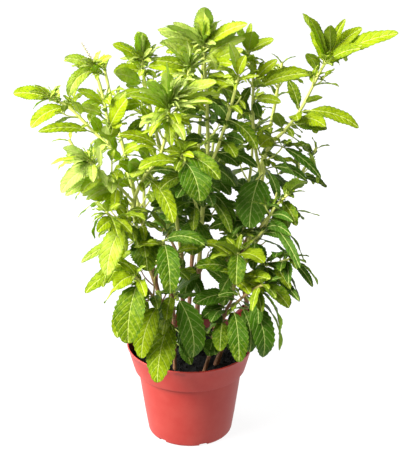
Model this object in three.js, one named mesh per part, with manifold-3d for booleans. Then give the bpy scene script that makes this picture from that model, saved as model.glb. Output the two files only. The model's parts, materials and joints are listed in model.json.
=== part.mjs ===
// A bushy potted herb: a moulded nursery pot, its soil, nine leafy stems and a red tie.
// Millimetres, +Z up, origin at the centre of the pot's flat base. The front of the plant faces -Y.

import * as THREE from 'three';
import { mergeVertices } from 'three/addons/utils/BufferGeometryUtils.js';
import Module from 'manifold-3d';

const wasm = await Module();
wasm.setup();

const RAD = Math.PI / 180;

// Pot: a tapered body, a step out, and a deep rim band
const POT_HEIGHT = 100;
const RIM_TOP_RADIUS = 65;
const RIM_FOOT_RADIUS = 57.5;
const RIM_BAND_HEIGHT = 27;
const BODY_TOP_RADIUS = 53.5;
const BASE_RADIUS = 43.5;
const BASE_CORNER = 4;
const POT_WALL = 1.8;
const POT_FLOOR = 2.6;
const POT_SEGMENTS = 24;
const DRAIN_COUNT = 6;
const DRAIN_WIDTH = 9;
const DRAIN_HEIGHT = 7;
const DRAIN_DEPTH = 9;
const DRAIN_FIRST_TURN = -131 * RAD;

// Soil, with a low uneven top and a plain hole for each stem
const SOIL_LEVEL = 87;
const SOIL_RELIEF = 2.2;
const SOIL_RINGS = 3;
const SOIL_SEGMENTS = 12;
const HOLE_SIDES = 6;
const HOLE_STEPS = 3;
const HOLE_TOP = 96;
const HOLE_CLEARANCE = 0.8;
const FIT_GAP = 0.35;

// Stems
const STEM_SIDES = 4;
const STEM_SWELL = 1.2;
const STEPS_PER_SPAN = 2;
const STEM_SAMPLES = 48;

// Leaves: sizes by maturity, which grows from 0 at a shoot's tip to 1 well down from it
const BLADE_THICKNESS = 0.8;
const STALK_HALF_WIDTH = 0.6;
const ROOT_SHARE = 0.4;
const TIP_MARGIN = 2;
const MATURE_DISTANCE = 130;
const YOUNG_BLADE = 15;
const MATURE_BLADE = 44;
const LONGEST_STALK = 14;
const LEAST_BEND = 8 * RAD;
const YOUNG_FOLD = 16 * RAD;
const MATURE_FOLD = -10 * RAD;
const ROLL_SPREAD = 30 * RAD;
const WAVE_SHARE = 0.09;
const PAIR_SPACING = 35;
const MATURE_SPACING = 47;

// Blade lengths from which a leaf gets more margin points
const LARGE_BLADE = 43;
const MIDDLE_BLADE = 35;
const SMALL_BLADE = 20;

// How clear a leaf lies of what stands round it
const SAMPLE_STEP = 3.1;
const CLEAR_OF_OTHER_LEAVES = 4.4;
const CLEAR_OF_SISTER_LEAVES = 2.8;
const CLEAR_OF_OTHER_STEM = 3;
const CLEAR_OF_OWN_STEM = 1.6;
const CLEAR_OF_POT = 3;
const LOWEST_LEAF = 60;
const SEED = 20417;

// Tie round the foot of the right stem
const TIE_START = 0.165;
const TIE_END = 0.245;
const TIE_RADIUS = 5;
const TIE_CLEARANCE = 0.8;
const TIE_SIDES = 8;
const TIE_STEPS = 2;
const TIE_BORE_STEPS = 3;
const TIE_BORE_PAST = 0.02;
const TIE_MIDDLE = (TIE_START + TIE_END) / 2;
const TIE_HALF_SPAN = (TIE_END - TIE_START) / 2 + 0.02;

// Each stem and each of its side shoots, as the points that its middle passes through.
// A side shoot leaves its parent at the given share of the parent's length.
// radius: at the foot and at the tip. leafy: how far down from the tip its leaves reach.
const SHOOTS = {
  left: { node: 'stem_left', radius: [2.5, 1.3], leafy: 125, points: [
    [-22, -10, 58], [-23, -11, 84], [-30, -14, 155], [-40, -16, 192], [-50, -20, 229],
    [-54, -24, 265], [-43, -28, 295], [-28, -32, 318], [-21, -36, 346], [-18, -38, 370]] },
  left_low: { parent: 'left', at: 0.42, radius: [1.6, 1.3], leafy: 45, points: [
    [-57, -42, 249], [-70, -56, 262], [-79, -64, 273]] },
  left_side: { parent: 'left', at: 0.56, radius: [1.6, 1.3], leafy: 60, points: [
    [-68, -40, 290], [-83, -52, 309], [-95, -58, 324]] },
  left_arm: { parent: 'left', at: 0.58, radius: [1.6, 1.3], leafy: 105, points: [
    [-63, -14, 303], [-78, -4, 317], [-95, 2, 332], [-116, 6, 353], [-137, 8, 363]] },
  left_spire: { parent: 'left_arm', at: 0.42, radius: [1.6, 1.3], leafy: 70, points: [
    [-80, 12, 336], [-84, 20, 357], [-89, 25, 376], [-93, 28, 391]] },
  crown: { node: 'stem_crown', radius: [2.3, 1.4], leafy: 155, points: [
    [-8, 6, 58], [-9, 7, 84], [-7, 8, 171], [-11, 12, 214], [-18, 18, 256],
    [-29, 24, 303], [-39, 30, 345], [-45, 34, 376], [-46, 36, 394]] },
  crown_side: { parent: 'crown', at: 0.62, radius: [1.6, 1.3], leafy: 80, points: [
    [-13, 2, 350], [-3, -8, 382], [1, -12, 401]] },
  centre: { node: 'stem_centre', radius: [2.5, 1.4], leafy: 165, points: [
    [6, -2, 58], [6, -3, 84], [9, -6, 174], [11, -8, 219], [14, -8, 266],
    [18, -4, 313], [17, 2, 359], [15, 6, 394], [14, 8, 419]] },
  centre_right: { parent: 'centre', at: 0.55, radius: [1.6, 1.3], leafy: 100, points: [
    [30, -26, 332], [40, -40, 373], [46, -46, 403]] },
  centre_front: { parent: 'centre', at: 0.42, radius: [1.6, 1.3], leafy: 90, points: [
    [4, -34, 277], [-3, -56, 311], [-7, -66, 333]] },
  right: { node: 'stem_right', radius: [2.6, 1.3], leafy: 140, points: [
    [20, -22, 58], [26, -24, 84], [43, -25, 134], [57, -26, 154], [53, -24, 182],
    [57, -22, 214], [64, -18, 251], [71, -14, 285], [76, -10, 316], [93, -4, 334],
    [107, 0, 352], [124, 6, 386], [136, 8, 409]] },
  right_mid: { parent: 'right', at: 0.585, radius: [1.6, 1.3], leafy: 110, points: [
    [65, 4, 310], [62, 14, 342], [62, 20, 379], [57, 24, 404]] },
  right_side: { parent: 'right', at: 0.43, radius: [1.5, 1.3], leafy: 70, points: [
    [71, -42, 243], [81, -52, 271], [95, -58, 290]] },
  right_low: { parent: 'right', at: 0.34, radius: [1.6, 1.3], leafy: 50, points: [
    [71, -40, 205], [88, -52, 215], [99, -60, 223]] },
  front_left: { node: 'stem_front_left', radius: [2, 1.3], leafy: 100, points: [
    [-14, -30, 58], [-15, -34, 84], [-16, -42, 156], [-19, -50, 190], [-22, -58, 222],
    [-25, -62, 243]] },
  front_left_out: { parent: 'front_left', at: 0.45, radius: [1.6, 1.3], leafy: 50, points: [
    [-33, -62, 181], [-44, -74, 202], [-53, -80, 214]] },
  front_right: { node: 'stem_front_right', radius: [2, 1.3], leafy: 110, points: [
    [12, -38, 58], [14, -40, 84], [32, -46, 149], [42, -54, 177], [45, -60, 208],
    [47, -64, 231]] },
  front_right_out: { parent: 'front_right', at: 0.4, radius: [1.6, 1.3], leafy: 55, points: [
    [49, -66, 181], [62, -76, 197], [72, -82, 206]] },
  back_left: { node: 'stem_back_left', radius: [2.4, 1.4], leafy: 165, points: [
    [-22, 20, 58], [-23, 22, 84], [-34, 40, 140], [-48, 62, 200], [-64, 82, 260],
    [-78, 98, 315], [-88, 108, 360]] },
  back_left_out: { parent: 'back_left', at: 0.42, radius: [1.5, 1.3], leafy: 110, points: [
    [-80, 62, 232], [-108, 68, 270], [-124, 72, 296]] },
  back_left_rear: { parent: 'back_left', at: 0.5, radius: [1.5, 1.3], leafy: 110, points: [
    [-48, 98, 262], [-44, 122, 300], [-42, 136, 330]] },
  back: { node: 'stem_back', radius: [2.4, 1.4], leafy: 165, points: [
    [-2, 32, 58], [-2, 34, 84], [0, 44, 140], [4, 56, 200], [8, 72, 270], [12, 84, 340],
    [14, 90, 398]] },
  back_out: { parent: 'back', at: 0.4, radius: [1.5, 1.3], leafy: 110, points: [
    [14, 88, 222], [22, 118, 254], [26, 138, 282]] },
  back_low: { parent: 'back', at: 0.3, radius: [1.6, 1.3], leafy: 60, points: [
    [-14, 70, 168], [-28, 88, 190], [-38, 98, 204]] },
  back_right: { node: 'stem_back_right', radius: [2.4, 1.4], leafy: 165, points: [
    [22, 20, 58], [23, 22, 84], [36, 38, 140], [54, 56, 200], [72, 72, 262],
    [86, 86, 322], [94, 94, 372]] },
  back_right_out: { parent: 'back_right', at: 0.4, radius: [1.5, 1.3], leafy: 110, points: [
    [86, 56, 224], [114, 62, 262], [130, 66, 290]] },
  back_right_low: { parent: 'back_right', at: 0.3, radius: [1.6, 1.3], leafy: 60, points: [
    [48, 62, 160], [60, 80, 182], [68, 92, 196]] },
  back_right_rear: { parent: 'back_right', at: 0.5, radius: [1.5, 1.3], leafy: 110, points: [
    [64, 96, 258], [66, 122, 292], [68, 138, 318]] },
};

// The leaves that give the plant its outline, placed by hand. Each row: the share of the
// shoot's length where the leaf grows, its tip, its half width and how far it bends over.
const PLACED = {
  left_arm: [[1, -171, 4, 369, 7.5, 35], [0.8, -152, -12, 339, 7.5, 70],
    [0.55, -144, -24, 339, 5.5, 45]],
  left_side: [[1, -118, -66, 339, 6, 35], [0.95, -130, -58, 319, 4.5, 50],
    [0.8, -119, -72, 296, 7.5, 70], [0.55, -101, -66, 293, 5.5, 70], [0.2, -93, -48, 279, 9, 55]],
  left_low: [[1, -92, -66, 264, 5, 45], [0.6, -86, -84, 261, 6.5, 60],
    [0.45, -78, -84, 216, 11, 80], [0.95, -103, -72, 225, 8, 75]],
  left: [[0.45, -50, -56, 204, 15, 110], [0.32, -102, -48, 179, 8, 80], [1, 26, -54, 400, 8, 40],
    [1, -21, -46, 407, 7.5, 25], [0.98, -46, -54, 391, 7.5, 40], [0.95, 22, -66, 383, 7, 50],
    [0.95, -10, -76, 378, 6.5, 60], [0.66, -15, -70, 264, 8, 85]],
  front_left_out: [[1, -71, -98, 210, 8.5, 60], [0.5, -49, -96, 194, 6.5, 75],
    [0.8, -62, -100, 153, 15, 85], [0.2, -46, -88, 129, 11, 85]],
  front_left: [[0.38, -31, -94, 105, 14, 100], [0.55, 3, -72, 121, 13, 85],
    [0.95, -18, -100, 204, 11, 120], [0.5, -22, -84, 168, 6, 70], [1, 17, -72, 244, 7, 60],
    [0.3, 1, -56, 104, 6, 70]],
  front_right: [[0.62, 7, -82, 185, 9.5, 45], [0.42, 15, -72, 158, 8, 50],
    [0.48, 31, -72, 128, 9.5, 90], [0.34, 20, -58, 115, 7.5, 80], [0.72, 71, -92, 207, 8.5, 45],
    [1, 45, -88, 209, 9, 90], [0.95, 22, -80, 247, 7, 50], [0.97, 71, -82, 228, 11, 70],
    [0.8, 7, -80, 223, 8, 50]],
  front_right_out: [[0.2, 48, -92, 127, 10, 95], [0.45, 71, -92, 132, 11, 90],
    [0.75, 86, -84, 153, 11, 70], [0.5, 88, -66, 125, 8, 70], [1, 96, -92, 186, 7.5, 45]],
  right_low: [[1, 125, -66, 198, 6.5, 50], [0.6, 106, -72, 182, 7.5, 65],
    [0.8, 115, -48, 207, 5.5, 50]],
  right: [[0.44, 89, -60, 217, 9, 65], [0.6, 58, -56, 253, 17, 100], [0.74, 125, -12, 281, 9, 75],
    [0.68, 111, 14, 296, 4.5, 45], [0.77, 132, -16, 339, 6.5, 40], [0.74, 82, -18, 356, 5.5, 25],
    [0.71, 68, -36, 329, 8, 50], [0.83, 163, -12, 339, 7.5, 55], [0.85, 127, -14, 371, 4, 30],
    [0.83, 96, 12, 379, 5.5, 35], [0.92, 111, -6, 411, 5.5, 40], [0.97, 107, 0, 449, 8, 20],
    [1, 128, -10, 439, 6.5, 25], [1, 159, 14, 439, 6.5, 25], [0.97, 199, 6, 428, 8.5, 25],
    [0.95, 169, -16, 417, 6, 35]],
  right_side: [[0.3, 95, -66, 245, 4.5, 45], [0.6, 124, -62, 268, 6.5, 40],
    [0.5, 109, -72, 225, 9.5, 75], [0.7, 104, -44, 242, 5.5, 60], [1, 111, -72, 308, 9, 50]],
  right_mid: [[0.68, 120, 24, 381, 7.5, 50], [1, 81, 20, 419, 5.5, 30], [1, 60, 6, 431, 8.5, 25],
    [0.6, 88, -2, 361, 5, 40]],
  centre: [[1, 15, 4, 455, 9.5, 20], [0.97, -22, -8, 439, 7, 30], [0.97, 55, -12, 442, 6.5, 35],
    [0.44, 2, -50, 230, 15, 100], [0.5, 23, -56, 275, 6, 55], [0.3, -5, -34, 166, 8, 70]],
  centre_front: [[1, 28, -88, 317, 8.5, 60], [0.85, 10, -92, 296, 15, 95]],
  crown: [[1, -49, 34, 422, 9, 20], [0.97, -74, 28, 410, 6.5, 30], [0.9, -73, 22, 383, 7, 45],
    [0.92, -3, 18, 387, 6.5, 45]],
  left_spire: [[0.85, -112, 18, 360, 5.5, 120], [1, -122, 26, 396, 3.5, 30],
    [0.95, -75, 20, 400, 4.5, 30], [0.4, -108, 8, 370, 5.5, 45]],
};

// Turn and lift in degrees, and size, that a leaf tries in order until it lies clear.
const TRIES = [[0, 0, 1], [14, 6, 1], [-14, 6, 1], [0, 18, 1], [0, -16, 1], [30, 0, 0.95],
  [-30, 0, 0.95], [24, 26, 0.9], [-24, 26, 0.9], [0, 0, 0.75], [45, 12, 0.75], [-45, 12, 0.75],
  [0, 35, 0.7], [65, 0, 0.7], [-65, 0, 0.7]];

const COLOURS = {
  pot: { color: 0xc65a4c, roughness: 0.5, metalness: 0 },
  soil: { color: 0x191216, roughness: 1, metalness: 0 },
  leaf: { color: 0x6f9f22, roughness: 0.55, metalness: 0 },
  tie: { color: 0x7c1216, roughness: 0.7, metalness: 0 },
};

const { lerp } = THREE.MathUtils;

// A small generator of repeatable random numbers from 0 to 1.
let seedState = SEED;

function random() {
  seedState = (seedState * 1664525 + 1013904223) % 4294967296;
  return seedState / 4294967296;
}

function solidOf(geometry) {
  const bare = geometry.clone();
  for (const name of Object.keys(bare.attributes)) {
    if (name !== 'position') bare.deleteAttribute(name);
  }
  const merged = mergeVertices(bare, 1e-4);
  return new wasm.Manifold(new wasm.Mesh({
    numProp: 3,
    vertProperties: Float32Array.from(merged.attributes.position.array),
    triVerts: Uint32Array.from(merged.index.array),
  }));
}

function geometryOf(solid) {
  const mesh = solid.getMesh();
  const geometry = new THREE.BufferGeometry();
  geometry.setAttribute('position', new THREE.BufferAttribute(mesh.vertProperties, 3));
  geometry.setIndex(new THREE.BufferAttribute(mesh.triVerts, 1));
  geometry.computeVertexNormals();
  return geometry;
}

function geometryFrom(points, triangles) {
  const geometry = new THREE.BufferGeometry().setFromPoints(points);
  geometry.setIndex(triangles.flat());
  return geometry;
}

// Stems

function growShoots() {
  const shoots = {};
  for (const [name, plan] of Object.entries(SHOOTS)) {
    const parent = shoots[plan.parent];
    const points = plan.points.map((p) => new THREE.Vector3(...p));
    if (parent) points.unshift(parent.curve.getPoint(plan.at));
    const curve = new THREE.CatmullRomCurve3(points, false, 'catmullrom', 0.5);
    const samples = [];
    let length = 0;
    for (let i = 0; i <= STEM_SAMPLES; i += 1) {
      const point = curve.getPoint(i / STEM_SAMPLES);
      if (i > 0) length += point.distanceTo(samples[i - 1].point);
      samples.push({ point, length, radius: lerp(...plan.radius, i / STEM_SAMPLES) });
    }
    shoots[name] = { ...plan, name, curve, samples, length, node: parent ? parent.node : plan.node };
  }
  return shoots;
}

// The share of the shoot at a distance along it.
function shareAt(shoot, distance) {
  for (let i = 1; i <= STEM_SAMPLES; i += 1) {
    const { length } = shoot.samples[i];
    const before = shoot.samples[i - 1].length;
    if (distance <= length) return (i - 1 + (distance - before) / (length - before)) / STEM_SAMPLES;
  }
  return 1;
}

// A closed tube along part of a curve, its radius running from the first to the second value.
function taperedTube(curve, shares, radii, sides, steps) {
  const points = [];
  const triangles = [];
  const across = new THREE.Vector3(1, 0, 0);
  for (let i = 0; i <= steps; i += 1) {
    const share = lerp(...shares, i / steps);
    const radius = lerp(...radii, i / steps);
    const centre = curve.getPoint(share);
    const along = curve.getTangent(share);
    across.addScaledVector(along, -across.dot(along)).normalize();
    const up = along.clone().cross(across);
    for (let k = 0; k < sides; k += 1) {
      const turn = (2 * Math.PI * k) / sides;
      const point = centre.clone().addScaledVector(across, radius * Math.cos(turn));
      points.push(point.addScaledVector(up, radius * Math.sin(turn)));
    }
  }
  const ring = (i, k) => i * sides + (k % sides);
  for (let i = 0; i < steps; i += 1) {
    for (let k = 0; k < sides; k += 1) {
      triangles.push([ring(i, k), ring(i, k + 1), ring(i + 1, k + 1)]);
      triangles.push([ring(i, k), ring(i + 1, k + 1), ring(i + 1, k)]);
    }
  }
  for (let k = 1; k < sides - 1; k += 1) {
    triangles.push([ring(0, 0), ring(0, k + 1), ring(0, k)]);
    triangles.push([ring(steps, 0), ring(steps, k), ring(steps, k + 1)]);
  }
  return geometryFrom(points, triangles);
}

function shootTube(shoot) {
  const steps = STEPS_PER_SPAN * (shoot.curve.points.length - 1);
  const radii = shoot.radius.map((radius) => radius * STEM_SWELL);
  return taperedTube(shoot.curve, [0, 1], radii, STEM_SIDES, steps);
}

// Leaves: the stalk and the blade's midrib lie on one arc in an upright plane. The arc leaves
// the stem at the leaf's rise above the horizontal and bends down by its bend over its length.

function leafFrame(leaf, distance) {
  const curvature = leaf.bend / leaf.length;
  const angle = leaf.rise - curvature * distance;
  const out = (Math.sin(leaf.rise) - Math.sin(angle)) / curvature;
  const up = (Math.cos(angle) - Math.cos(leaf.rise)) / curvature;
  const cosTurn = Math.cos(leaf.turn);
  const sinTurn = Math.sin(leaf.turn);
  const middle = new THREE.Vector3(out * cosTurn, out * sinTurn, up).add(leaf.root);
  const flatSide = new THREE.Vector3(-sinTurn, cosTurn, 0);
  const backward = -Math.sin(angle);
  const flatNormal = new THREE.Vector3(backward * cosTurn, backward * sinTurn, Math.cos(angle));
  const cosRoll = Math.cos(leaf.roll);
  const sinRoll = Math.sin(leaf.roll);
  const side = flatSide.clone().multiplyScalar(cosRoll).addScaledVector(flatNormal, sinRoll);
  const normal = flatNormal.multiplyScalar(cosRoll).addScaledVector(flatSide, -sinRoll);
  return { middle, side, normal };
}

// Half width at a share of the blade's length: an oval, widest below the middle.
function halfWidth(leaf, share) {
  return leaf.half * Math.sin(Math.PI * Math.max(0, share) ** 0.82) ** 0.85;
}

// A point of the blade's middle surface. across runs from -1 to 1 over the local half width.
// The blade is folded along its midrib, and its edges wave.
function bladePoint(leaf, distance, across, width) {
  const { middle, side, normal } = leafFrame(leaf, distance);
  const share = (distance - leaf.stalk) / leaf.blade;
  const edge = Math.abs(across);
  const edgePhase = leaf.phase + (across > 0 ? 1.3 : 0);
  const wave = share > 0 ? leaf.wave * Math.sin(15 * share + edgePhase) * edge ** 2 : 0;
  const lift = edge * width * Math.sin(leaf.fold) * (1 - 0.3 * edge) + wave;
  const point = middle.addScaledVector(side, across * width * Math.cos(leaf.fold));
  return { point: point.addScaledVector(normal, lift), normal };
}

// Rows of margin points and midrib points for a leaf's size. A margin row is its share of the
// blade and how far out it stands, so that outer and inner rows make the cut edge's teeth.
function bladePlan(blade) {
  if (blade >= LARGE_BLADE) {
    const margin = [[0, 0], [0.2, 1], [0.36, 0.88], [0.52, 1.06], [0.74, 1.1]];
    return { stalk: true, rib: [0.34, 0.7], margin };
  }
  if (blade >= MIDDLE_BLADE) {
    return { stalk: true, rib: [0.46], margin: [[0, 0], [0.22, 1], [0.46, 0.94], [0.7, 1.1]] };
  }
  if (blade >= SMALL_BLADE) return { stalk: true, rib: [0.45], margin: [[0, 0], [0.26, 1], [0.62, 1.05]] };
  return { stalk: false, rib: [], margin: [[0.4, 1]] };
}

// The triangles of a leaf's upper face, between the corners on its right edge, its midrib and
// its left edge, from the stalk's foot to the tip.
function upperFace(corners, right, rib, left, tip, hasStalk) {
  const triangles = [];
  const ribFoot = rib.length === 0 ? right.length - 1 : Number(hasStalk);
  for (let i = 0; i < ribFoot; i += 1) {
    triangles.push([right[i], right[i + 1], left[i + 1]], [right[i], left[i + 1], left[i]]);
  }
  if (rib.length === 0) {
    triangles.push([right.at(-1), tip, left.at(-1)]);
    return triangles;
  }
  triangles.push([left[ribFoot], right[ribFoot], rib[0]]);
  let j = 0;
  for (let i = ribFoot; i < right.length; i += 1) {
    const nextRight = right[i + 1] ?? tip;
    const nextLeft = left[i + 1] ?? tip;
    while (j + 1 < rib.length && corners[rib[j + 1]].distance < corners[nextRight].distance) {
      triangles.push([right[i], rib[j + 1], rib[j]], [rib[j], rib[j + 1], left[i]]);
      j += 1;
    }
    triangles.push([right[i], nextRight, rib[j]], [rib[j], nextLeft, left[i]]);
  }
  return triangles;
}

// The solid plate of a leaf: one outline of stalk and blade, with the same triangles on its
// upper and lower face.
function leafSolid(leaf) {
  const plan = bladePlan(leaf.blade);
  const corners = [];
  const add = (distance, across, width) => {
    corners.push({ distance, ...bladePoint(leaf, distance, across, width) });
    return corners.length - 1;
  };
  const rows = [[0, STALK_HALF_WIDTH]];
  for (const [share, reach] of plan.margin) {
    const width = share === 0 ? STALK_HALF_WIDTH : reach * halfWidth(leaf, share);
    rows.push([leaf.stalk + share * leaf.blade, width]);
  }
  const right = rows.map(([distance, width]) => add(distance, -1, width));
  const left = rows.map(([distance, width]) => add(distance, 1, width));
  const rib = plan.rib.map((share) => add(leaf.stalk + share * leaf.blade, 0, 0));
  const tip = add(leaf.length, 0, 0);
  const upper = upperFace(corners, right, rib, left, tip, plan.stalk);
  const count = corners.length;
  const triangles = [...upper, ...upper.map(([a, b, c]) => [a + count, c + count, b + count])];
  const loop = [...right, tip, ...left.toReversed()];
  loop.forEach((from, i) => {
    const to = loop[(i + 1) % loop.length];
    triangles.push([from, from + count, to + count], [from, to + count, to]);
  });
  const face = (offset) => corners.map(({ point, normal }) => point.clone().addScaledVector(normal, offset));
  return geometryFrom([...face(BLADE_THICKNESS / 2), ...face(-BLADE_THICKNESS / 2)], triangles);
}

// Points spread over a leaf, each with its distance from the stem along the leaf.
function spread(leaf) {
  const points = [];
  const stalkRows = Math.ceil(leaf.stalk / SAMPLE_STEP);
  for (let i = 1; i < stalkRows; i += 1) {
    const distance = (leaf.stalk * i) / stalkRows;
    points.push({ distance, point: leafFrame(leaf, distance).middle });
  }
  const rows = Math.ceil(leaf.blade / SAMPLE_STEP);
  const columns = Math.ceil(leaf.half / SAMPLE_STEP);
  for (let i = 0; i <= rows; i += 1) {
    const distance = leaf.stalk + (leaf.blade * i) / rows;
    const width = halfWidth(leaf, i / rows);
    for (let k = -columns; k <= columns; k += 1) {
      points.push({ distance, point: bladePoint(leaf, distance, k / columns, width).point });
    }
  }
  return points;
}

// Clearance: a leaf keeps off the pot, the soil, the tie, the stems and the leaves before it.

function potRadiusAt(height) {
  const bodyHeight = POT_HEIGHT - RIM_BAND_HEIGHT;
  if (height < bodyHeight) return lerp(BASE_RADIUS, BODY_TOP_RADIUS, Math.max(0, height) / bodyHeight);
  return lerp(RIM_FOOT_RADIUS, RIM_TOP_RADIUS, Math.min(1, (height - bodyHeight) / RIM_BAND_HEIGHT));
}

function clearOfPot(point) {
  if (point.z > POT_HEIGHT + CLEAR_OF_POT) return true;
  const radius = Math.hypot(point.x, point.y);
  const wall = potRadiusAt(point.z);
  if (radius > wall + CLEAR_OF_POT) return point.z > LOWEST_LEAF;
  return radius < wall - POT_WALL - CLEAR_OF_POT && point.z > SOIL_LEVEL + SOIL_RELIEF + CLEAR_OF_POT;
}

function clearOfShoots(leaf, points, shoots) {
  for (const shoot of Object.values(shoots)) {
    const own = shoot.name === leaf.shoot;
    const sister = shoot.node === leaf.node;
    for (const [i, sample] of shoot.samples.entries()) {
      const tied = shoot.name === 'right' && Math.abs(i / STEM_SAMPLES - TIE_MIDDLE) < TIE_HALF_SPAN;
      const keep = (tied ? TIE_RADIUS : sample.radius) + (sister ? CLEAR_OF_OWN_STEM : CLEAR_OF_OTHER_STEM);
      for (const { point, distance } of points) {
        const nearFoot = (sister && distance < 9) || (own && distance < leaf.stalk + 0.3 * leaf.blade);
        if (nearFoot || Math.abs(point.z - sample.point.z) > keep) continue;
        if (point.distanceTo(sample.point) < keep) return false;
      }
    }
  }
  return true;
}

// Sister leaves of one stem may draw together near their feet, where they grow.
function clearOfLeaves(leaf, points, grown) {
  for (const other of grown) {
    const sister = other.node === leaf.node;
    const reach = leaf.length + other.length + leaf.half + other.half + CLEAR_OF_OTHER_LEAVES;
    if (leaf.root.distanceTo(other.root) > reach) continue;
    for (const a of points) {
      for (const b of other.points) {
        const feet = 0.2 * Math.min(a.distance, b.distance);
        const keep = sister ? Math.min(CLEAR_OF_SISTER_LEAVES, feet) : CLEAR_OF_OTHER_LEAVES;
        if (a.point.distanceToSquared(b.point) < keep * keep) return false;
      }
    }
  }
  return true;
}

function settle(leaf, shoots, grown) {
  for (const [turn, lift, size] of TRIES) {
    const tried = { ...leaf, turn: leaf.turn + turn * RAD, rise: leaf.rise + lift * RAD };
    for (const measure of ['length', 'stalk', 'blade', 'half']) tried[measure] *= size;
    const points = spread(tried);
    if (!points.every(({ point }) => clearOfPot(point))) continue;
    if (!clearOfShoots(tried, points, shoots)) continue;
    if (!clearOfLeaves(tried, points, grown)) continue;
    grown.push({ ...tried, points });
    return;
  }
}

function makeLeaf(shoot, askedShare, { turn, rise, length, half, bend }) {
  const share = Math.min(askedShare, 1 - TIP_MARGIN / shoot.length);
  const maturity = Math.min(1, ((1 - share) * shoot.length) / MATURE_DISTANCE);
  const stalk = Math.min(LONGEST_STALK, (0.1 + 0.14 * maturity) * length);
  const flat = Math.cos(rise);
  const start = new THREE.Vector3(flat * Math.cos(turn), flat * Math.sin(turn), Math.sin(rise));
  const root = shoot.curve.getPoint(share).addScaledVector(start, ROOT_SHARE * lerp(...shoot.radius, share));
  return { node: shoot.node, shoot: shoot.name, root, turn, rise, length, stalk, blade: length - stalk, half,
    bend: Math.max(bend, LEAST_BEND), fold: lerp(YOUNG_FOLD, MATURE_FOLD, maturity),
    roll: (random() - 0.5) * ROLL_SPREAD, wave: WAVE_SHARE * half, phase: 6 * random() };
}

// A leaf from its place on the shoot to a given tip.
function placedLeaf(shoot, [share, x, y, z, half, bendDegrees]) {
  const chord = new THREE.Vector3(x, y, z).sub(shoot.curve.getPoint(share));
  const bend = bendDegrees * RAD;
  const rise = Math.atan2(chord.z, Math.hypot(chord.x, chord.y)) + bend / 2;
  const length = (chord.length() * bend) / 2 / Math.sin(bend / 2);
  return makeLeaf(shoot, share, { turn: Math.atan2(chord.y, chord.x), rise, length, half, bend });
}

// Opposite pairs down a shoot from its tip, each pair turned a quarter from the one above.
function pairedLeaves(shoot) {
  const leaves = [];
  let quarter = 0;
  for (let down = 3; down < shoot.leafy;) {
    const maturity = Math.min(1, down / MATURE_DISTANCE);
    const share = shareAt(shoot, shoot.length - down);
    const along = shoot.curve.getTangent(share);
    const across = new THREE.Vector3(0.8, 0.6, 0);
    across.addScaledVector(along, -along.dot(across)).normalize();
    across.applyAxisAngle(along, (90 * quarter + 40 * (random() - 0.5)) * RAD);
    const opening = lerp(34, 64, maturity) * RAD;
    for (const facing of [1, -1]) {
      const start = along.clone().multiplyScalar(Math.cos(opening));
      start.addScaledVector(across, facing * Math.sin(opening));
      const blade = lerp(YOUNG_BLADE, MATURE_BLADE, maturity ** 0.75) * (0.84 + 0.32 * random());
      leaves.push(makeLeaf(shoot, share, {
        turn: Math.atan2(start.y, start.x),
        rise: Math.asin(start.z),
        length: blade * lerp(1.12, 1.28, maturity),
        half: blade * lerp(0.2, 0.25, maturity),
        bend: (lerp(35, 80, maturity) + 25 * random()) * RAD,
      }));
    }
    down += lerp(PAIR_SPACING, MATURE_SPACING, maturity);
    quarter += 1;
  }
  return leaves;
}

function growLeaves(shoots) {
  const grown = [];
  for (const [name, rows] of Object.entries(PLACED)) {
    for (const row of rows) settle(placedLeaf(shoots[name], row), shoots, grown);
  }
  for (const shoot of Object.values(shoots)) {
    for (const leaf of pairedLeaves(shoot)) settle(leaf, shoots, grown);
  }
  return grown;
}

// Pot, soil and tie

function turned(profile, segments) {
  const lathe = new THREE.LatheGeometry(profile.map((p) => new THREE.Vector2(...p)), segments);
  return lathe.rotateX(Math.PI / 2);
}

function potSolid() {
  const step = POT_HEIGHT - RIM_BAND_HEIGHT;
  let pot = solidOf(turned([[0, 0], [BASE_RADIUS - BASE_CORNER, 0], [BASE_RADIUS - 1, 1.2],
    [BASE_RADIUS + 0.5, BASE_CORNER], [BODY_TOP_RADIUS, step], [RIM_FOOT_RADIUS, step],
    [RIM_TOP_RADIUS, POT_HEIGHT - 1], [RIM_TOP_RADIUS - 0.5, POT_HEIGHT],
    [RIM_TOP_RADIUS - POT_WALL, POT_HEIGHT], [RIM_FOOT_RADIUS - POT_WALL, step + POT_WALL],
    [BODY_TOP_RADIUS - POT_WALL, step], [BASE_RADIUS - POT_WALL, POT_FLOOR], [0, POT_FLOOR]], POT_SEGMENTS));
  for (let i = 0; i < DRAIN_COUNT; i += 1) {
    const drain = new THREE.BoxGeometry(DRAIN_DEPTH, DRAIN_WIDTH, DRAIN_HEIGHT);
    drain.translate(BASE_RADIUS, 0, 0).rotateZ(DRAIN_FIRST_TURN + (2 * Math.PI * i) / DRAIN_COUNT);
    pot = pot.subtract(solidOf(drain));
  }
  return pot;
}

function soilHeight(x, y, topRadius) {
  const inward = 1 - Math.hypot(x, y) / topRadius;
  const bumps = Math.sin(0.17 * x + 1) * Math.cos(0.21 * y) + 0.5 * Math.sin(0.4 * x - 0.3 * y);
  return SOIL_LEVEL + SOIL_RELIEF * (0.5 * bumps * Math.min(1, 4 * inward) + 0.4 * inward);
}

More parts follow.
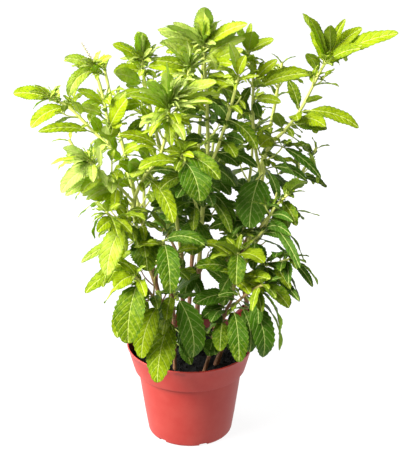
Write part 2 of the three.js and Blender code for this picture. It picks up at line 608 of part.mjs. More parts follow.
function soilSolid(shoots) {
  const step = POT_HEIGHT - RIM_BAND_HEIGHT;
  const facetSag = RIM_TOP_RADIUS * (1 - Math.cos(Math.PI / POT_SEGMENTS));
  const inset = POT_WALL + FIT_GAP + facetSag;
  const topRadius = potRadiusAt(SOIL_LEVEL) - inset - 0.1;
  const profile = [[0, POT_FLOOR + FIT_GAP], [BASE_RADIUS - inset, POT_FLOOR + FIT_GAP],
    [BODY_TOP_RADIUS - inset - 0.1, step + FIT_GAP], [RIM_FOOT_RADIUS - inset - 0.6, step + inset]];
  for (let i = 0; i <= SOIL_RINGS; i += 1) profile.push([topRadius * (1 - i / SOIL_RINGS), SOIL_LEVEL]);
  const filling = turned(profile, SOIL_SEGMENTS);
  const { position } = filling.attributes;
  for (let i = 0; i < position.count; i += 1) {
    if (position.getZ(i) > SOIL_LEVEL - 0.01) {
      position.setZ(i, soilHeight(position.getX(i), position.getY(i), topRadius));
    }
  }
  let soil = solidOf(filling);
  for (const shoot of Object.values(shoots).filter(({ parent }) => !parent)) {
    soil = soil.subtract(solidOf(holeFor(shoot)));
  }
  return soil;
}

// A plain hole along the buried foot of a stem, a little wider and deeper than it.
function holeFor(shoot) {
  const endShare = shoot.samples.findIndex(({ point }) => point.z > HOLE_TOP) / STEM_SAMPLES;
  const foot = shoot.curve.getPoint(0);
  const bottom = new THREE.Vector3(foot.x, foot.y, foot.z - FIT_GAP);
  const route = [0.25, 0.5, 0.75, 1].map((share) => shoot.curve.getPoint(share * endShare));
  const radius = shoot.radius[0] * STEM_SWELL + HOLE_CLEARANCE;
  const curve = new THREE.CatmullRomCurve3([bottom, ...route]);
  return taperedTube(curve, [0, 1], [radius, radius], HOLE_SIDES, HOLE_STEPS);
}

function tieSolid({ curve, radius }) {
  const bore = lerp(...radius, TIE_START) * STEM_SWELL + TIE_CLEARANCE;
  const boreSpan = [TIE_START - TIE_BORE_PAST, TIE_END + TIE_BORE_PAST];
  const band = taperedTube(curve, [TIE_START, TIE_END], [TIE_RADIUS, TIE_RADIUS], TIE_SIDES, TIE_STEPS);
  const core = taperedTube(curve, boreSpan, [bore, bore], TIE_SIDES, TIE_BORE_STEPS);
  return solidOf(band).subtract(solidOf(core));
}

function stemSolid(node, shoots, leaves) {
  const tubes = Object.values(shoots).filter((shoot) => shoot.node === node).map(shootTube);
  const blades = leaves.filter((leaf) => leaf.node === node).map(leafSolid);
  const [first, ...rest] = [...tubes, ...blades].map(solidOf);
  return rest.reduce((whole, piece) => whole.add(piece), first);
}

function addPart(group, name, solid, finish) {
  const mesh = new THREE.Mesh(geometryOf(solid), new THREE.MeshStandardMaterial(finish));
  mesh.name = name;
  group.add(mesh);
}

const plant = new THREE.Group();
const shoots = growShoots();
const leaves = growLeaves(shoots);

addPart(plant, 'pot', potSolid(), COLOURS.pot);
addPart(plant, 'soil', soilSolid(shoots), COLOURS.soil);
for (const { node, parent } of Object.values(shoots)) {
  if (!parent) addPart(plant, node, stemSolid(node, shoots, leaves), COLOURS.leaf);
}
addPart(plant, 'red_tie', tieSolid(shoots.right), COLOURS.tie);

export default plant;
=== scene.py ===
"""A bushy potted herb in a moulded nursery pot, dressed for its photograph.

The shoots and the larger leaves follow the rule that shaped the solids, so every fine leaf lies
where its solid does. Small leaves, young tips and flowers are added between them. Lengths are in
millimetres until a mesh is made, and in metres after that. The plant's front faces -Y.
"""

import json
import logging
import math
from dataclasses import dataclass, field, replace
from enum import Enum
from functools import lru_cache

import bpy
import numpy as np
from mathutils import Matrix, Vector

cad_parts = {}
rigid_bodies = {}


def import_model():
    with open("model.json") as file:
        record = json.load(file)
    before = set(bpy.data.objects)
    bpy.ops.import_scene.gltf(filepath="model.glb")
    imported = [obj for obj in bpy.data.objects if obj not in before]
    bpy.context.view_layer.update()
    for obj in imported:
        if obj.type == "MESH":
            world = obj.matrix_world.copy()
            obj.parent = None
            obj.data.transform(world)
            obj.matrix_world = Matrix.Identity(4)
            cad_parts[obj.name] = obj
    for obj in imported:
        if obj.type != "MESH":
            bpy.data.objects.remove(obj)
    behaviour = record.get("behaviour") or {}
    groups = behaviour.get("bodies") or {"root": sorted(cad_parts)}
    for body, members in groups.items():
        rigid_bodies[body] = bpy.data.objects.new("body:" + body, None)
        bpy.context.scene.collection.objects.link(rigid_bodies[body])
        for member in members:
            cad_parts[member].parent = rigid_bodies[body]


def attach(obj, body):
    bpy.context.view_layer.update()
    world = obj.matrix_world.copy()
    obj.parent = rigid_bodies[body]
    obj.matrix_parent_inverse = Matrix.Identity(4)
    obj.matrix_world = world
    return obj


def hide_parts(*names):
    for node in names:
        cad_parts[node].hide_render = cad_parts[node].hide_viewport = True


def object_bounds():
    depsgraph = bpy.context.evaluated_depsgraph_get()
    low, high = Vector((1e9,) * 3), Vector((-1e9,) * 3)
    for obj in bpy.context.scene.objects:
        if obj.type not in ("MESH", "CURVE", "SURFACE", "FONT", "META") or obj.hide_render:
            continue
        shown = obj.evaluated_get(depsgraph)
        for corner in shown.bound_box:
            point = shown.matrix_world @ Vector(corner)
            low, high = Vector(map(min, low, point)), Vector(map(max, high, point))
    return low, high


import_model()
CAD_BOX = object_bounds()

LOG = logging.getLogger("potted_herb")
MM = 0.001
RAD = math.pi / 180


@dataclass(frozen=True)
class ShootPlan:
    """A stem or side shoot as planned.

    leafy is how far down from its tip the larger leaves reach. The radius is at the foot and at
    the tip, and the shoot's middle passes through the points. A side shoot leaves its parent at a
    share of the parent's length.
    """

    leafy: float
    radius: tuple[float, float]
    points: list[tuple[float, float, float]]
    parent: str | None = None
    at: float = 0.0


SHOOTS = {
    "left": ShootPlan(125, (2.5, 1.3), [(-22, -10, 58), (-23, -11, 84), (-30, -14, 155), (-40, -16, 192),
        (-50, -20, 229), (-54, -24, 265), (-43, -28, 295), (-28, -32, 318), (-21, -36, 346),
        (-18, -38, 370)]),
    "left_low": ShootPlan(45, (1.6, 1.3), [(-57, -42, 249), (-70, -56, 262),
        (-79, -64, 273)], "left", 0.42),
    "left_side": ShootPlan(60, (1.6, 1.3), [(-68, -40, 290), (-83, -52, 309),
        (-95, -58, 324)], "left", 0.56),
    "left_arm": ShootPlan(105, (1.6, 1.3), [(-63, -14, 303), (-78, -4, 317), (-95, 2, 332), (-116, 6, 353),
        (-137, 8, 363)], "left", 0.58),
    "left_spire": ShootPlan(70, (1.6, 1.3), [(-80, 12, 336), (-84, 20, 357), (-89, 25, 376),
        (-93, 28, 391)], "left_arm", 0.42),
    "crown": ShootPlan(155, (2.3, 1.4), [(-8, 6, 58), (-9, 7, 84), (-7, 8, 171), (-11, 12, 214),
        (-18, 18, 256), (-29, 24, 303), (-39, 30, 345), (-45, 34, 376), (-46, 36, 394)]),
    "crown_side": ShootPlan(80, (1.6, 1.3), [(-13, 2, 350), (-3, -8, 382), (1, -12, 401)], "crown", 0.62),
    "centre": ShootPlan(165, (2.5, 1.4), [(6, -2, 58), (6, -3, 84), (9, -6, 174), (11, -8, 219),
        (14, -8, 266), (18, -4, 313), (17, 2, 359), (15, 6, 394), (14, 8, 419)]),
    "centre_right": ShootPlan(100, (1.6, 1.3), [(30, -26, 332), (40, -40, 373),
        (46, -46, 403)], "centre", 0.55),
    "centre_front": ShootPlan(90, (1.6, 1.3), [(4, -34, 277), (-3, -56, 311),
        (-7, -66, 333)], "centre", 0.42),
    "right": ShootPlan(140, (2.6, 1.3), [(20, -22, 58), (26, -24, 84), (43, -25, 134), (57, -26, 154),
        (53, -24, 182), (57, -22, 214), (64, -18, 251), (71, -14, 285), (76, -10, 316), (93, -4, 334),
        (107, 0, 352), (124, 6, 386), (136, 8, 409)]),
    "right_mid": ShootPlan(110, (1.6, 1.3), [(65, 4, 310), (62, 14, 342), (62, 20, 379),
        (57, 24, 404)], "right", 0.585),
    "right_side": ShootPlan(70, (1.5, 1.3), [(71, -42, 243), (81, -52, 271),
        (95, -58, 290)], "right", 0.43),
    "right_low": ShootPlan(50, (1.6, 1.3), [(71, -40, 205), (88, -52, 215), (99, -60, 223)], "right", 0.34),
    "front_left": ShootPlan(100, (2, 1.3), [(-14, -30, 58), (-15, -34, 84), (-16, -42, 156),
        (-19, -50, 190), (-22, -58, 222), (-25, -62, 243)]),
    "front_left_out": ShootPlan(50, (1.6, 1.3), [(-33, -62, 181), (-44, -74, 202),
        (-53, -80, 214)], "front_left", 0.45),
    "front_right": ShootPlan(110, (2, 1.3), [(12, -38, 58), (14, -40, 84), (32, -46, 149), (42, -54, 177),
        (45, -60, 208), (47, -64, 231)]),
    "front_right_out": ShootPlan(55, (1.6, 1.3), [(49, -66, 181), (62, -76, 197),
        (72, -82, 206)], "front_right", 0.4),
    "back_left": ShootPlan(165, (2.4, 1.4), [(-22, 20, 58), (-23, 22, 84), (-34, 40, 140), (-48, 62, 200),
        (-64, 82, 260), (-78, 98, 315), (-88, 108, 360)]),
    "back_left_out": ShootPlan(110, (1.5, 1.3), [(-80, 62, 232), (-108, 68, 270),
        (-124, 72, 296)], "back_left", 0.42),
    "back_left_rear": ShootPlan(110, (1.5, 1.3), [(-48, 98, 262), (-44, 122, 300),
        (-42, 136, 330)], "back_left", 0.5),
    "back": ShootPlan(165, (2.4, 1.4), [(-2, 32, 58), (-2, 34, 84), (0, 44, 140), (4, 56, 200),
        (8, 72, 270), (12, 84, 340), (14, 90, 398)]),
    "back_out": ShootPlan(110, (1.5, 1.3), [(14, 88, 222), (22, 118, 254), (26, 138, 282)], "back", 0.4),
    "back_low": ShootPlan(60, (1.6, 1.3), [(-14, 70, 168), (-28, 88, 190), (-38, 98, 204)], "back", 0.3),
    "back_right": ShootPlan(165, (2.4, 1.4), [(22, 20, 58), (23, 22, 84), (36, 38, 140), (54, 56, 200),
        (72, 72, 262), (86, 86, 322), (94, 94, 372)]),
    "back_right_out": ShootPlan(110, (1.5, 1.3), [(86, 56, 224), (114, 62, 262),
        (130, 66, 290)], "back_right", 0.4),
    "back_right_low": ShootPlan(60, (1.6, 1.3), [(48, 62, 160), (60, 80, 182),
        (68, 92, 196)], "back_right", 0.3),
    "back_right_rear": ShootPlan(110, (1.5, 1.3), [(64, 96, 258), (66, 122, 292),
        (68, 138, 318)], "back_right", 0.5),
}

# The leaves placed one by one. Each row: the share of the shoot's length where the leaf grows, its
# tip, its half width and how far it bends over, in degrees.
PLACED = {
    "left_arm": [(1, -171, 4, 369, 7.5, 35), (0.8, -152, -12, 339, 7.5, 70),
        (0.55, -144, -24, 339, 5.5, 45)],
    "left_side": [(1, -118, -66, 339, 6, 35), (0.95, -130, -58, 319, 4.5, 50),
        (0.8, -119, -72, 296, 7.5, 70), (0.55, -101, -66, 293, 5.5, 70), (0.2, -93, -48, 279, 9, 55)],
    "left_low": [(1, -92, -66, 264, 5, 45), (0.6, -86, -84, 261, 6.5, 60), (0.45, -78, -84, 216, 11, 80),
        (0.95, -103, -72, 225, 8, 75)],
    "left": [(0.45, -50, -56, 204, 15, 110), (0.32, -102, -48, 179, 8, 80), (1, 26, -54, 400, 8, 40),
        (1, -21, -46, 407, 7.5, 25), (0.98, -46, -54, 391, 7.5, 40), (0.95, 22, -66, 383, 7, 50),
        (0.95, -10, -76, 378, 6.5, 60), (0.66, -15, -70, 264, 8, 85)],
    "front_left_out": [(1, -71, -98, 210, 8.5, 60), (0.5, -49, -96, 194, 6.5, 75),
        (0.8, -62, -100, 153, 15, 85), (0.2, -46, -88, 129, 11, 85)],
    "front_left": [(0.38, -31, -94, 105, 14, 100), (0.55, 3, -72, 121, 13, 85),
        (0.95, -18, -100, 204, 11, 120), (0.5, -22, -84, 168, 6, 70), (1, 17, -72, 244, 7, 60),
        (0.3, 1, -56, 104, 6, 70)],
    "front_right": [(0.62, 7, -82, 185, 9.5, 45), (0.42, 15, -72, 158, 8, 50),
        (0.48, 31, -72, 128, 9.5, 90), (0.34, 20, -58, 115, 7.5, 80), (0.72, 71, -92, 207, 8.5, 45),
        (1, 45, -88, 209, 9, 90), (0.95, 22, -80, 247, 7, 50), (0.97, 71, -82, 228, 11, 70),
        (0.8, 7, -80, 223, 8, 50)],
    "front_right_out": [(0.2, 48, -92, 127, 10, 95), (0.45, 71, -92, 132, 11, 90),
        (0.75, 86, -84, 153, 11, 70), (0.5, 88, -66, 125, 8, 70), (1, 96, -92, 186, 7.5, 45)],
    "right_low": [(1, 125, -66, 198, 6.5, 50), (0.6, 106, -72, 182, 7.5, 65),
        (0.8, 115, -48, 207, 5.5, 50)],
    "right": [(0.44, 89, -60, 217, 9, 65), (0.6, 58, -56, 253, 17, 100), (0.74, 125, -12, 281, 9, 75),
        (0.68, 111, 14, 296, 4.5, 45), (0.77, 132, -16, 339, 6.5, 40), (0.74, 82, -18, 356, 5.5, 25),
        (0.71, 68, -36, 329, 8, 50), (0.83, 163, -12, 339, 7.5, 55), (0.85, 127, -14, 371, 4, 30),
        (0.83, 96, 12, 379, 5.5, 35), (0.92, 111, -6, 411, 5.5, 40), (0.97, 107, 0, 449, 8, 20),
        (1, 128, -10, 439, 6.5, 25), (1, 159, 14, 439, 6.5, 25), (0.97, 199, 6, 428, 8.5, 25),
        (0.95, 169, -16, 417, 6, 35)],
    "right_side": [(0.3, 95, -66, 245, 4.5, 45), (0.6, 124, -62, 268, 6.5, 40),
        (0.5, 109, -72, 225, 9.5, 75), (0.7, 104, -44, 242, 5.5, 60), (1, 111, -72, 308, 9, 50)],
    "right_mid": [(0.68, 120, 24, 381, 7.5, 50), (1, 81, 20, 419, 5.5, 30), (1, 60, 6, 431, 8.5, 25),
        (0.6, 88, -2, 361, 5, 40)],
    "centre": [(1, 15, 4, 455, 9.5, 20), (0.97, -22, -8, 439, 7, 30), (0.97, 55, -12, 442, 6.5, 35),
        (0.44, 2, -50, 230, 15, 100), (0.5, 23, -56, 275, 6, 55), (0.3, -5, -34, 166, 8, 70)],
    "centre_front": [(1, 28, -88, 317, 8.5, 60), (0.85, 10, -92, 296, 15, 95)],
    "crown": [(1, -49, 34, 422, 9, 20), (0.97, -74, 28, 410, 6.5, 30), (0.9, -73, 22, 383, 7, 45),
        (0.92, -3, 18, 387, 6.5, 45)],
    "left_spire": [(0.85, -112, 18, 360, 5.5, 120), (1, -122, 26, 396, 3.5, 30),
        (0.95, -75, 20, 400, 4.5, 30), (0.4, -108, 8, 370, 5.5, 45)],
}

# Which of them the photograph shows from their edge, by their rows.
EDGE_ON = {"left_low": (0, 3), "front_right_out": (2, 3), "right_low": (0, 1, 2),
    "right": (0, 2, 3), "right_side": (1, 2)}

# Further leaves by where the photograph shows their tips. Each row: the shoot, the share of its
# length where the leaf grows, the tip's pixel, how much further back than its foot the tip lies,
# its half width, its bend and its roll in degrees, and how young it looks, partly as painted light
# (or, below 0, how much painted shade darkens it).
SEEN = (
    ("right_mid", 0.66, 311, 74, -8, 5.5, 40, 35, 0), ("right", 0.61, 306, 181, -18, 4.6, 80, 60, 0),
    ("right_mid", 0.62, 278, 103, -6, 3.6, 40, 20, -0.3),
    ("right_mid", 0.6, 259, 117, -12, 4.5, 60, 0, -0.3), ("right_mid", 0.72, 277, 60, -8, 4.6, 20, 35, 0.1),
    ("right_mid", 0.74, 253, 62, -10, 4.4, 25, 0, 0), ("right_mid", 0.5, 228, 100, -10, 6, 45, -35, -0.35),
    ("centre", 0.8, 240, 99, -14, 6, 60, 28, -0.35), ("centre", 0.76, 229, 121, -22, 7.5, 70, 30, -0.4),
    ("centre_right", 0.52, 256, 149, -8, 6, 60, 22, 0),
    ("centre_right", 0.22, 257, 168, -6, 5, 60, 28, -0.3),
    ("centre", 0.58, 235, 187, -20, 5.5, 70, 30, -0.1), ("centre", 0.47, 240, 206, -22, 4, 35, 22, -0.2),
    ("centre", 0.45, 236, 236, -22, 5.5, 65, 28, -0.2), ("right", 0.48, 208, 230, -10, 5.5, 50, -32, 0),
    ("right", 0.45, 212, 262, -18, 9, 70, -40, 0), ("right", 0.44, 263, 262, -14, 6.5, 60, 28, -0.3),
    ("centre_front", 0.98, 199, 149, 6, 6.5, 60, 25, -0.4),
    ("crown", 0.47, 204, 226, -34, 10, 60, 38, -0.4), ("left", 0.68, 184, 178, -12, 4.6, 70, 22, -0.3),
    ("left", 0.67, 175, 219, -16, 7.5, 70, 30, -0.4), ("front_left", 0.99, 206, 247, -8, 5.5, 80, 20, -0.1),
    ("crown", 0.47, 151, 206, -14, 4.5, 50, -28, -0.2), ("left", 0.55, 103, 207, -16, 6.5, 40, -38, 0),
    ("left_spire", 0.14, 127, 99, -14, 8, 20, 20, 0.1),
    ("left_spire", 0.32, 78, 107, -14, 4.6, 20, -28, 0.3), ("crown", 0.83, 115, 74, -26, 8, 30, 0, 0.2),
    ("crown_side", 0.95, 157, 61, -4, 6, 30, -38, -0.4), ("centre", 0.93, 160, 33, -8, 4.6, 30, -25, 0.2),
    ("crown_side", 0.99, 162, 40, -6, 4, 25, -20, 0.2), ("centre", 0.88, 243, 50, -14, 5.5, 25, 35, 0),
    ("right_mid", 0.99, 251, 23, -4, 4, 20, 0, 0.1), ("right_mid", 0.98, 232, 21, -8, 4, 25, -20, 0.1),
    ("centre", 0.86, 236, 67, -22, 6, 50, 35, -0.1), ("centre", 0.75, 186, 112, -30, 8, 50, -45, -0.45),
    ("left", 0.99, 222, 100, -10, 5, 40, 32, 0.1), ("centre", 0.7, 247, 131, -20, 5, 40, 28, -0.3),
    ("front_right", 0.58, 193, 302, -12, 7.5, 40, -48, -0.1),
    ("front_right", 0.5, 205, 322, -14, 7, 60, -45, -0.3),
    ("front_right", 0.42, 220, 351, -26, 8.5, 80, 0, 0.45), ("crown", 0.27, 203, 298, -34, 6, 50, 30, -0.3),
    ("front_right", 0.8, 222, 292, -8, 6, 50, -30, -0.3),
    ("front_right", 0.75, 260, 298, -16, 7.5, 50, 40, 0.35),
    ("front_right_out", 0.88, 289, 306, -8, 7.5, 60, 42, 0.1),
    ("right_low", 0.35, 299, 301, -46, 4.5, 30, 30, -0.3),
    ("right_low", 0.5, 294, 290, -30, 5, 30, 30, 0.3),
    ("centre_front", 0.6, 160, 190, -16, 6.5, 60, -35, -0.2), ("left", 0.6, 100, 186, -24, 5, 45, -30, 0.1),
    ("left_side", 0.35, 83, 196, -6, 4.5, 45, -30, 0.1),
    ("centre", 0.64, 185, 142, -24, 5.5, 55, -38, -0.4),
    ("crown_side", 0.6, 155, 118, -14, 5, 50, -35, -0.4), ("left", 0.8, 120, 135, -14, 5.5, 50, -35, 0.1),
    ("front_left", 0.45, 152, 334, -20, 6.5, 70, -25, 0),
    ("front_left", 0.34, 190, 358, -30, 7, 85, 0, -0.1),
    ("front_right", 0.3, 212, 357, -22, 6, 70, 0, -0.35), ("crown", 0.97, 137, 32, 4, 7.5, 20, -30, 0.25),
    ("crown", 0.93, 121, 52, -4, 6, 35, -35, 0.15), ("left", 0.975, 134, 99, -30, 5, 40, 20, 0.1),
    ("centre", 0.97, 157, 36, -8, 5, 35, -40, 0.2), ("centre", 0.99, 172, 27, -6, 4.5, 25, -35, 0.3),
    ("centre", 0.92, 156, 46, -14, 5.5, 45, -45, 0.1), ("centre", 0.94, 166, 56, -12, 5, 50, -40, -0.3),
    ("centre", 0.98, 217, 22, -4, 4.5, 25, 35, 0.25), ("centre", 0.96, 236, 33, -8, 5.5, 35, 40, 0.1),
    ("centre", 0.91, 246, 44, -12, 5.5, 40, 45, 0), ("centre_right", 0.96, 225, 44, -6, 5, 30, -30, 0.1),
    ("centre_right", 0.98, 246, 56, -4, 5, 30, 35, 0.1),
    ("left_spire", 0.86, 69, 98, -16, 6.5, 110, -55, 0.25),
    ("left_spire", 0.92, 63, 60, -6, 5.5, 40, -45, 0.25),
    ("left_arm", 0.5, 91, 119, -14, 5.5, 50, -45, 0.3), ("left_spire", 0.3, 126, 92, -4, 5.5, 15, 40, 0.3),
    ("left_spire", 0.2, 122, 125, -12, 5.5, 50, 45, 0.1),
    ("left_arm", 0.42, 96, 152, -22, 6.5, 80, -40, 0.25), ("crown", 0.76, 112, 112, -10, 6, 50, -45, 0.1),
    ("crown", 0.72, 128, 141, -12, 6, 60, -45, -0.2), ("crown", 0.81, 119, 98, -4, 4.5, 40, -40, 0.1),
    ("left_spire", 0.45, 80, 112, -12, 5.5, 60, -45, 0.25), ("crown", 0.68, 142, 108, -4, 5, 20, -30, 0),
    ("right_mid", 0.7, 240, 110, -12, 4.5, 60, -40, -0.3),
    ("centre_right", 0.35, 243, 143, -10, 5.5, 60, 40, -0.1),
    ("centre", 0.56, 230, 195, -18, 6, 55, 40, -0.3), ("centre", 0.52, 234, 226, -20, 6, 75, 40, -0.2),
    ("centre", 0.5, 226, 238, -26, 5.5, 80, 35, -0.1), ("left", 0.42, 82, 263, -18, 5, 60, -45, 0.5),
    ("left", 0.43, 103, 288, -24, 6, 85, -60, 0.55), ("right_low", 0.95, 316, 284, -6, 4, 30, 40, -0.2),
    ("front_right_out", 0.3, 249, 352, -14, 8, 80, 35, -0.3),
    ("front_left_out", 0.6, 118, 338, -14, 7, 80, -20, 0.2),
    ("right_low", 0.8, 284, 309, -14, 5.5, 55, 45, 0.1),
    ("left_side", 0.45, 66, 196, -10, 5.5, 60, -45, 0.2), ("centre", 0.995, 204, 9, -8, 9.5, 20, 0, 0.1),
    ("right", 0.965, 304, 14, -8, 7, 25, 0, 0), ("right", 0.94, 362, 51, -20, 6, 35, 0, 0),
    ("crown", 0.985, 139, 31, -6, 8, 20, 0, 0.15), ("left", 0.99, 178, 74, -14, 6.5, 30, 0, 0.4),
    ("left", 0.98, 150, 78, -18, 6, 45, 0, 0.3), ("left_side", 0.3, 82, 197, -8, 4, 50, -40, 0.2),
    ("right", 0.96, 348, 20, 6, 4.5, 20, 40, 0.1), ("back", 0.97, 215, 17, -4, 5, 20, 10, 0),
    ("left_arm", 0.45, 106, 126, -4, 5, 10, 20, 0.2), ("left_arm", 0.3, 112, 138, -14, 4.5, 20, 30, -0.15),
    ("left_arm", 0.2, 107, 154, -18, 4.5, 50, -20, 0.1),
    ("left_arm", 0.25, 138, 146, -16, 4.5, 40, 30, -0.1), ("left", 0.65, 119, 163, -28, 5.5, 30, -20, -0.2),
    ("left", 0.62, 122, 168, -38, 8, 30, 0, 0.7), ("left", 0.72, 139, 150, -38, 5, 30, -20, 0.1),
    ("left", 0.68, 130, 163, -34, 4.5, 40, 20, 0.2), ("left_side", 0.7, 100, 147, -46, 4.5, 20, 0, 0.3),
    ("right", 0.69, 315, 184, -22, 5, 45, 0, -0.3), ("right_side", 0.35, 291, 236, -46, 5, 60, 40, -0.3),
    ("right_side", 0.5, 302, 262, -52, 5, 45, 30, -0.2),
    ("right_side", 0.55, 293, 222, -56, 4, 35, 30, -0.3), ("right", 0.56, 289, 243, -26, 4.5, 30, 40, -0.3),
    ("right", 0.62, 278, 200, -22, 4.5, 60, 40, -0.4), ("centre", 0.74, 182, 112, -16, 6, 40, -45, -0.45),
    ("centre", 0.7, 216, 121, -12, 5, 50, 30, -0.4),
)

# Where the photograph shows the background, a bare stem or the tie between the leaves, so that no
# finer leaf grows there. Each row is an oval of pixels: its middle, and half its width and height.
GAPS = (
    (88, 103, 8, 3), (86, 81, 6, 7), (42, 106, 18, 4), (74, 122, 9, 6), (65, 141, 18, 3), (85, 142, 5, 7),
    (58, 155, 7, 2), (52, 176, 8, 6), (111, 86, 6, 5), (112, 67, 5, 5), (121, 97, 2, 5), (138, 88, 6, 3),
    (136, 100, 4, 4), (137, 126, 2, 4), (107, 165, 6, 6), (133, 157, 4, 3), (98, 187, 6, 4),
    (155, 66, 4, 5), (148, 88, 7, 4), (155, 106, 6, 6), (241, 71, 6, 5), (241, 93, 4, 8), (232, 116, 4, 6),
    (228, 95, 5, 2), (203, 127, 11, 4), (219, 131, 6, 4), (240, 136, 7, 5), (202, 143, 3, 4),
    (216, 147, 4, 3), (222, 166, 8, 3), (245, 172, 4, 7), (253, 158, 3, 6), (160, 172, 8, 3),
    (184, 181, 5, 3), (222, 186, 2, 4), (280, 92, 11, 4), (285, 108, 10, 8), (268, 116, 5, 6),
    (325, 92, 16, 10), (336, 155, 17, 24), (287, 153, 8, 4), (300, 172, 5, 5), (257, 163, 3, 7),
    (273, 187, 4, 8), (300, 197, 11, 4), (105, 214, 13, 2), (72, 215, 14, 12), (89, 231, 7, 4),
    (146, 204, 4, 5), (152, 214, 3, 8), (156, 189, 6, 2), (153, 231, 3, 3), (165, 238, 8, 2),
    (177, 245, 3, 4), (155, 258, 2, 9), (160, 283, 3, 6), (146, 272, 3, 3), (212, 217, 6, 7),
    (227, 210, 6, 3), (217, 236, 5, 2), (206, 250, 3, 4), (191, 260, 5, 6), (205, 279, 4, 7),
    (213, 287, 7, 5), (247, 267, 4, 2), (266, 243, 8, 6), (278, 243, 5, 5), (312, 235, 13, 13),
    (240, 317, 9, 8), (263, 219, 6, 7), (134, 198, 5, 9), (161, 138, 4, 11), (173, 112, 4, 5),
    (251, 95, 3, 16), (262, 174, 3, 8), (257, 148, 2, 8), (241, 299, 3, 7), (243, 258, 3, 8),
    (200, 262, 2, 14), (152, 284, 3, 13), (309, 94, 5, 14), (100, 84, 2, 8), (204, 72, 4, 7),
    (319, 257, 11, 8), (313, 293, 10, 7), (281, 321, 12, 5), (297, 319, 12, 8), (45, 79, 14, 7),
    (95, 54, 8, 5), (112, 78, 7, 9), (88, 86, 8, 9), (70, 115, 5, 4), (59, 125, 10, 1.5), (61, 145, 13, 2),
    (84, 212, 7, 8), (92, 227, 6, 8), (287, 57, 14, 8), (261, 52, 7, 4), (317, 140, 7, 9),
    (322, 162, 6, 16), (288, 167, 9, 2), (273, 184, 5, 8), (301, 192, 9, 2), (304, 235, 5, 11),
    (171, 241, 8, 3), (345, 80, 16, 9), (322, 68, 4, 4), (299, 242, 5, 12), (312, 268, 6, 6),
    (296, 284, 6, 9), (278, 330, 6, 16), (283, 150, 12, 3), (105, 322, 5, 10), (275, 187, 6, 8),
    (291, 178, 7, 3),
)

# Painted light and shade on the bush. Each row is an oval of pixels, its middle and half its
# width and height, and how much painted light lightens the leaves at its middle, as a younger
# colour (or, below 0, how much painted shade darkens them).
PAINTED_LIGHT_AND_SHADE = (
    (198, 178, 24, 28, -0.5), (227, 120, 38, 30, -0.3), (222, 165, 38, 30, -0.22), (256, 205, 24, 30, -0.3),
    (190, 225, 22, 26, -0.25), (168, 268, 15, 30, -0.2), (262, 330, 22, 32, -0.2), (178, 92, 44, 22, 0.25),
    (108, 268, 28, 34, 0.4), (246, 293, 12, 10, 0.3), (124, 316, 18, 28, 0.16), (100, 170, 46, 50, 0.38),
    (150, 352, 24, 30, 0.16), (168, 60, 14, 12, -0.3), (205, 112, 16, 12, -0.3), (118, 145, 12, 12, -0.3),
    (210, 306, 26, 14, -0.12), (200, 40, 64, 34, 0.34), (135, 60, 30, 34, 0.2), (50, 118, 26, 18, -0.2),
    (105, 165, 50, 44, 0.16), (285, 232, 20, 34, -0.35), (300, 165, 26, 26, -0.2), (292, 282, 26, 22, -0.2),
    (240, 325, 60, 46, -0.16), (200, 215, 60, 60, -0.08), (280, 200, 50, 80, -0.1),
)

# Tufts of curly young leaves at the tips: the shoot, how many leaves and how long the longest are.
TUFTS = (
    ("left", 26, 31), ("left_arm", 10, 20), ("left_spire", 9, 18), ("left_side", 8, 17), ("crown", 12, 22),
    ("crown_side", 14, 25), ("centre", 18, 28), ("centre_right", 12, 22), ("right_mid", 9, 18),
    ("right", 10, 17), ("left_low", 5, 14), ("centre_front", 7, 16), ("front_left", 6, 14),
    ("front_right", 6, 14), ("back", 10, 22), ("back_left", 8, 20), ("back_right", 8, 20),
)

# Fans of slim young leaves at the tips: the shoot, how many leaves, the directions that they point
# in the picture from the first to the last in degrees, how far the nearest and the furthest tips
# lie from the shoot's tip in pixels, half the width of a leaf, how much further back than the
# shoot's tip the nearest and the furthest of theirs lie, and how young they look.
FANS = (
    ("left", 60, -20, 200, 10, 38, 1.9, -50, -22, 0.4), ("left", 44, -15, 195, 14, 44, 2.0, -22, 6, 0.3),
    ("left_arm", 12, 20, 230, 10, 22, 2.2, -20, 2, 0.3),
    ("left_spire", 10, -20, 200, 9, 20, 2.0, -20, 2, 0.3),
    ("crown", 16, -30, 210, 12, 28, 2.6, -20, 2, 0.3), ("centre", 20, -20, 200, 12, 32, 2.8, -20, 2, 0.3),
    ("centre_right", 16, -10, 190, 10, 26, 2.4, -20, 8, 0.3),
    ("crown_side", 16, 0, 180, 12, 28, 2.4, -20, 2, 0.3),
    ("left_side", 12, 60, 260, 10, 22, 2.2, -20, 2, 0.2),
)

# Turn and lift in degrees, and size, that a leaf tries in order until it lies clear: a large
# leaf, a small one, and one that the photograph shows.
TRIES = ((0, 0, 1), (14, 6, 1), (-14, 6, 1), (0, 18, 1), (0, -16, 1), (30, 0, 0.95),
    (-30, 0, 0.95), (24, 26, 0.9), (-24, 26, 0.9), (0, 0, 0.75), (45, 12, 0.75), (-45, 12, 0.75),
    (0, 35, 0.7), (65, 0, 0.7), (-65, 0, 0.7))
SMALL_TRIES = ((0, 0, 1), (20, 8, 1), (-20, 8, 1), (0, 20, 1), (0, -20, 1), (40, 0, 0.9),
    (-40, 0, 0.9), (30, 30, 0.85), (-30, 30, 0.85), (60, -10, 0.8), (-60, -10, 0.8), (0, 0, 0.7),
    (90, 10, 0.7), (-90, 10, 0.7))
SEEN_TRIES = ((0, 0, 1), (8, 5, 1), (-8, 5, 1), (0, -8, 1), (0, 12, 1), (16, 0, 0.95), (-16, 0, 0.95),
    (10, 14, 0.85), (-10, 14, 0.85), (0, 0, 0.8), (20, -8, 0.8), (-20, -8, 0.8), (0, 6, 0.65))


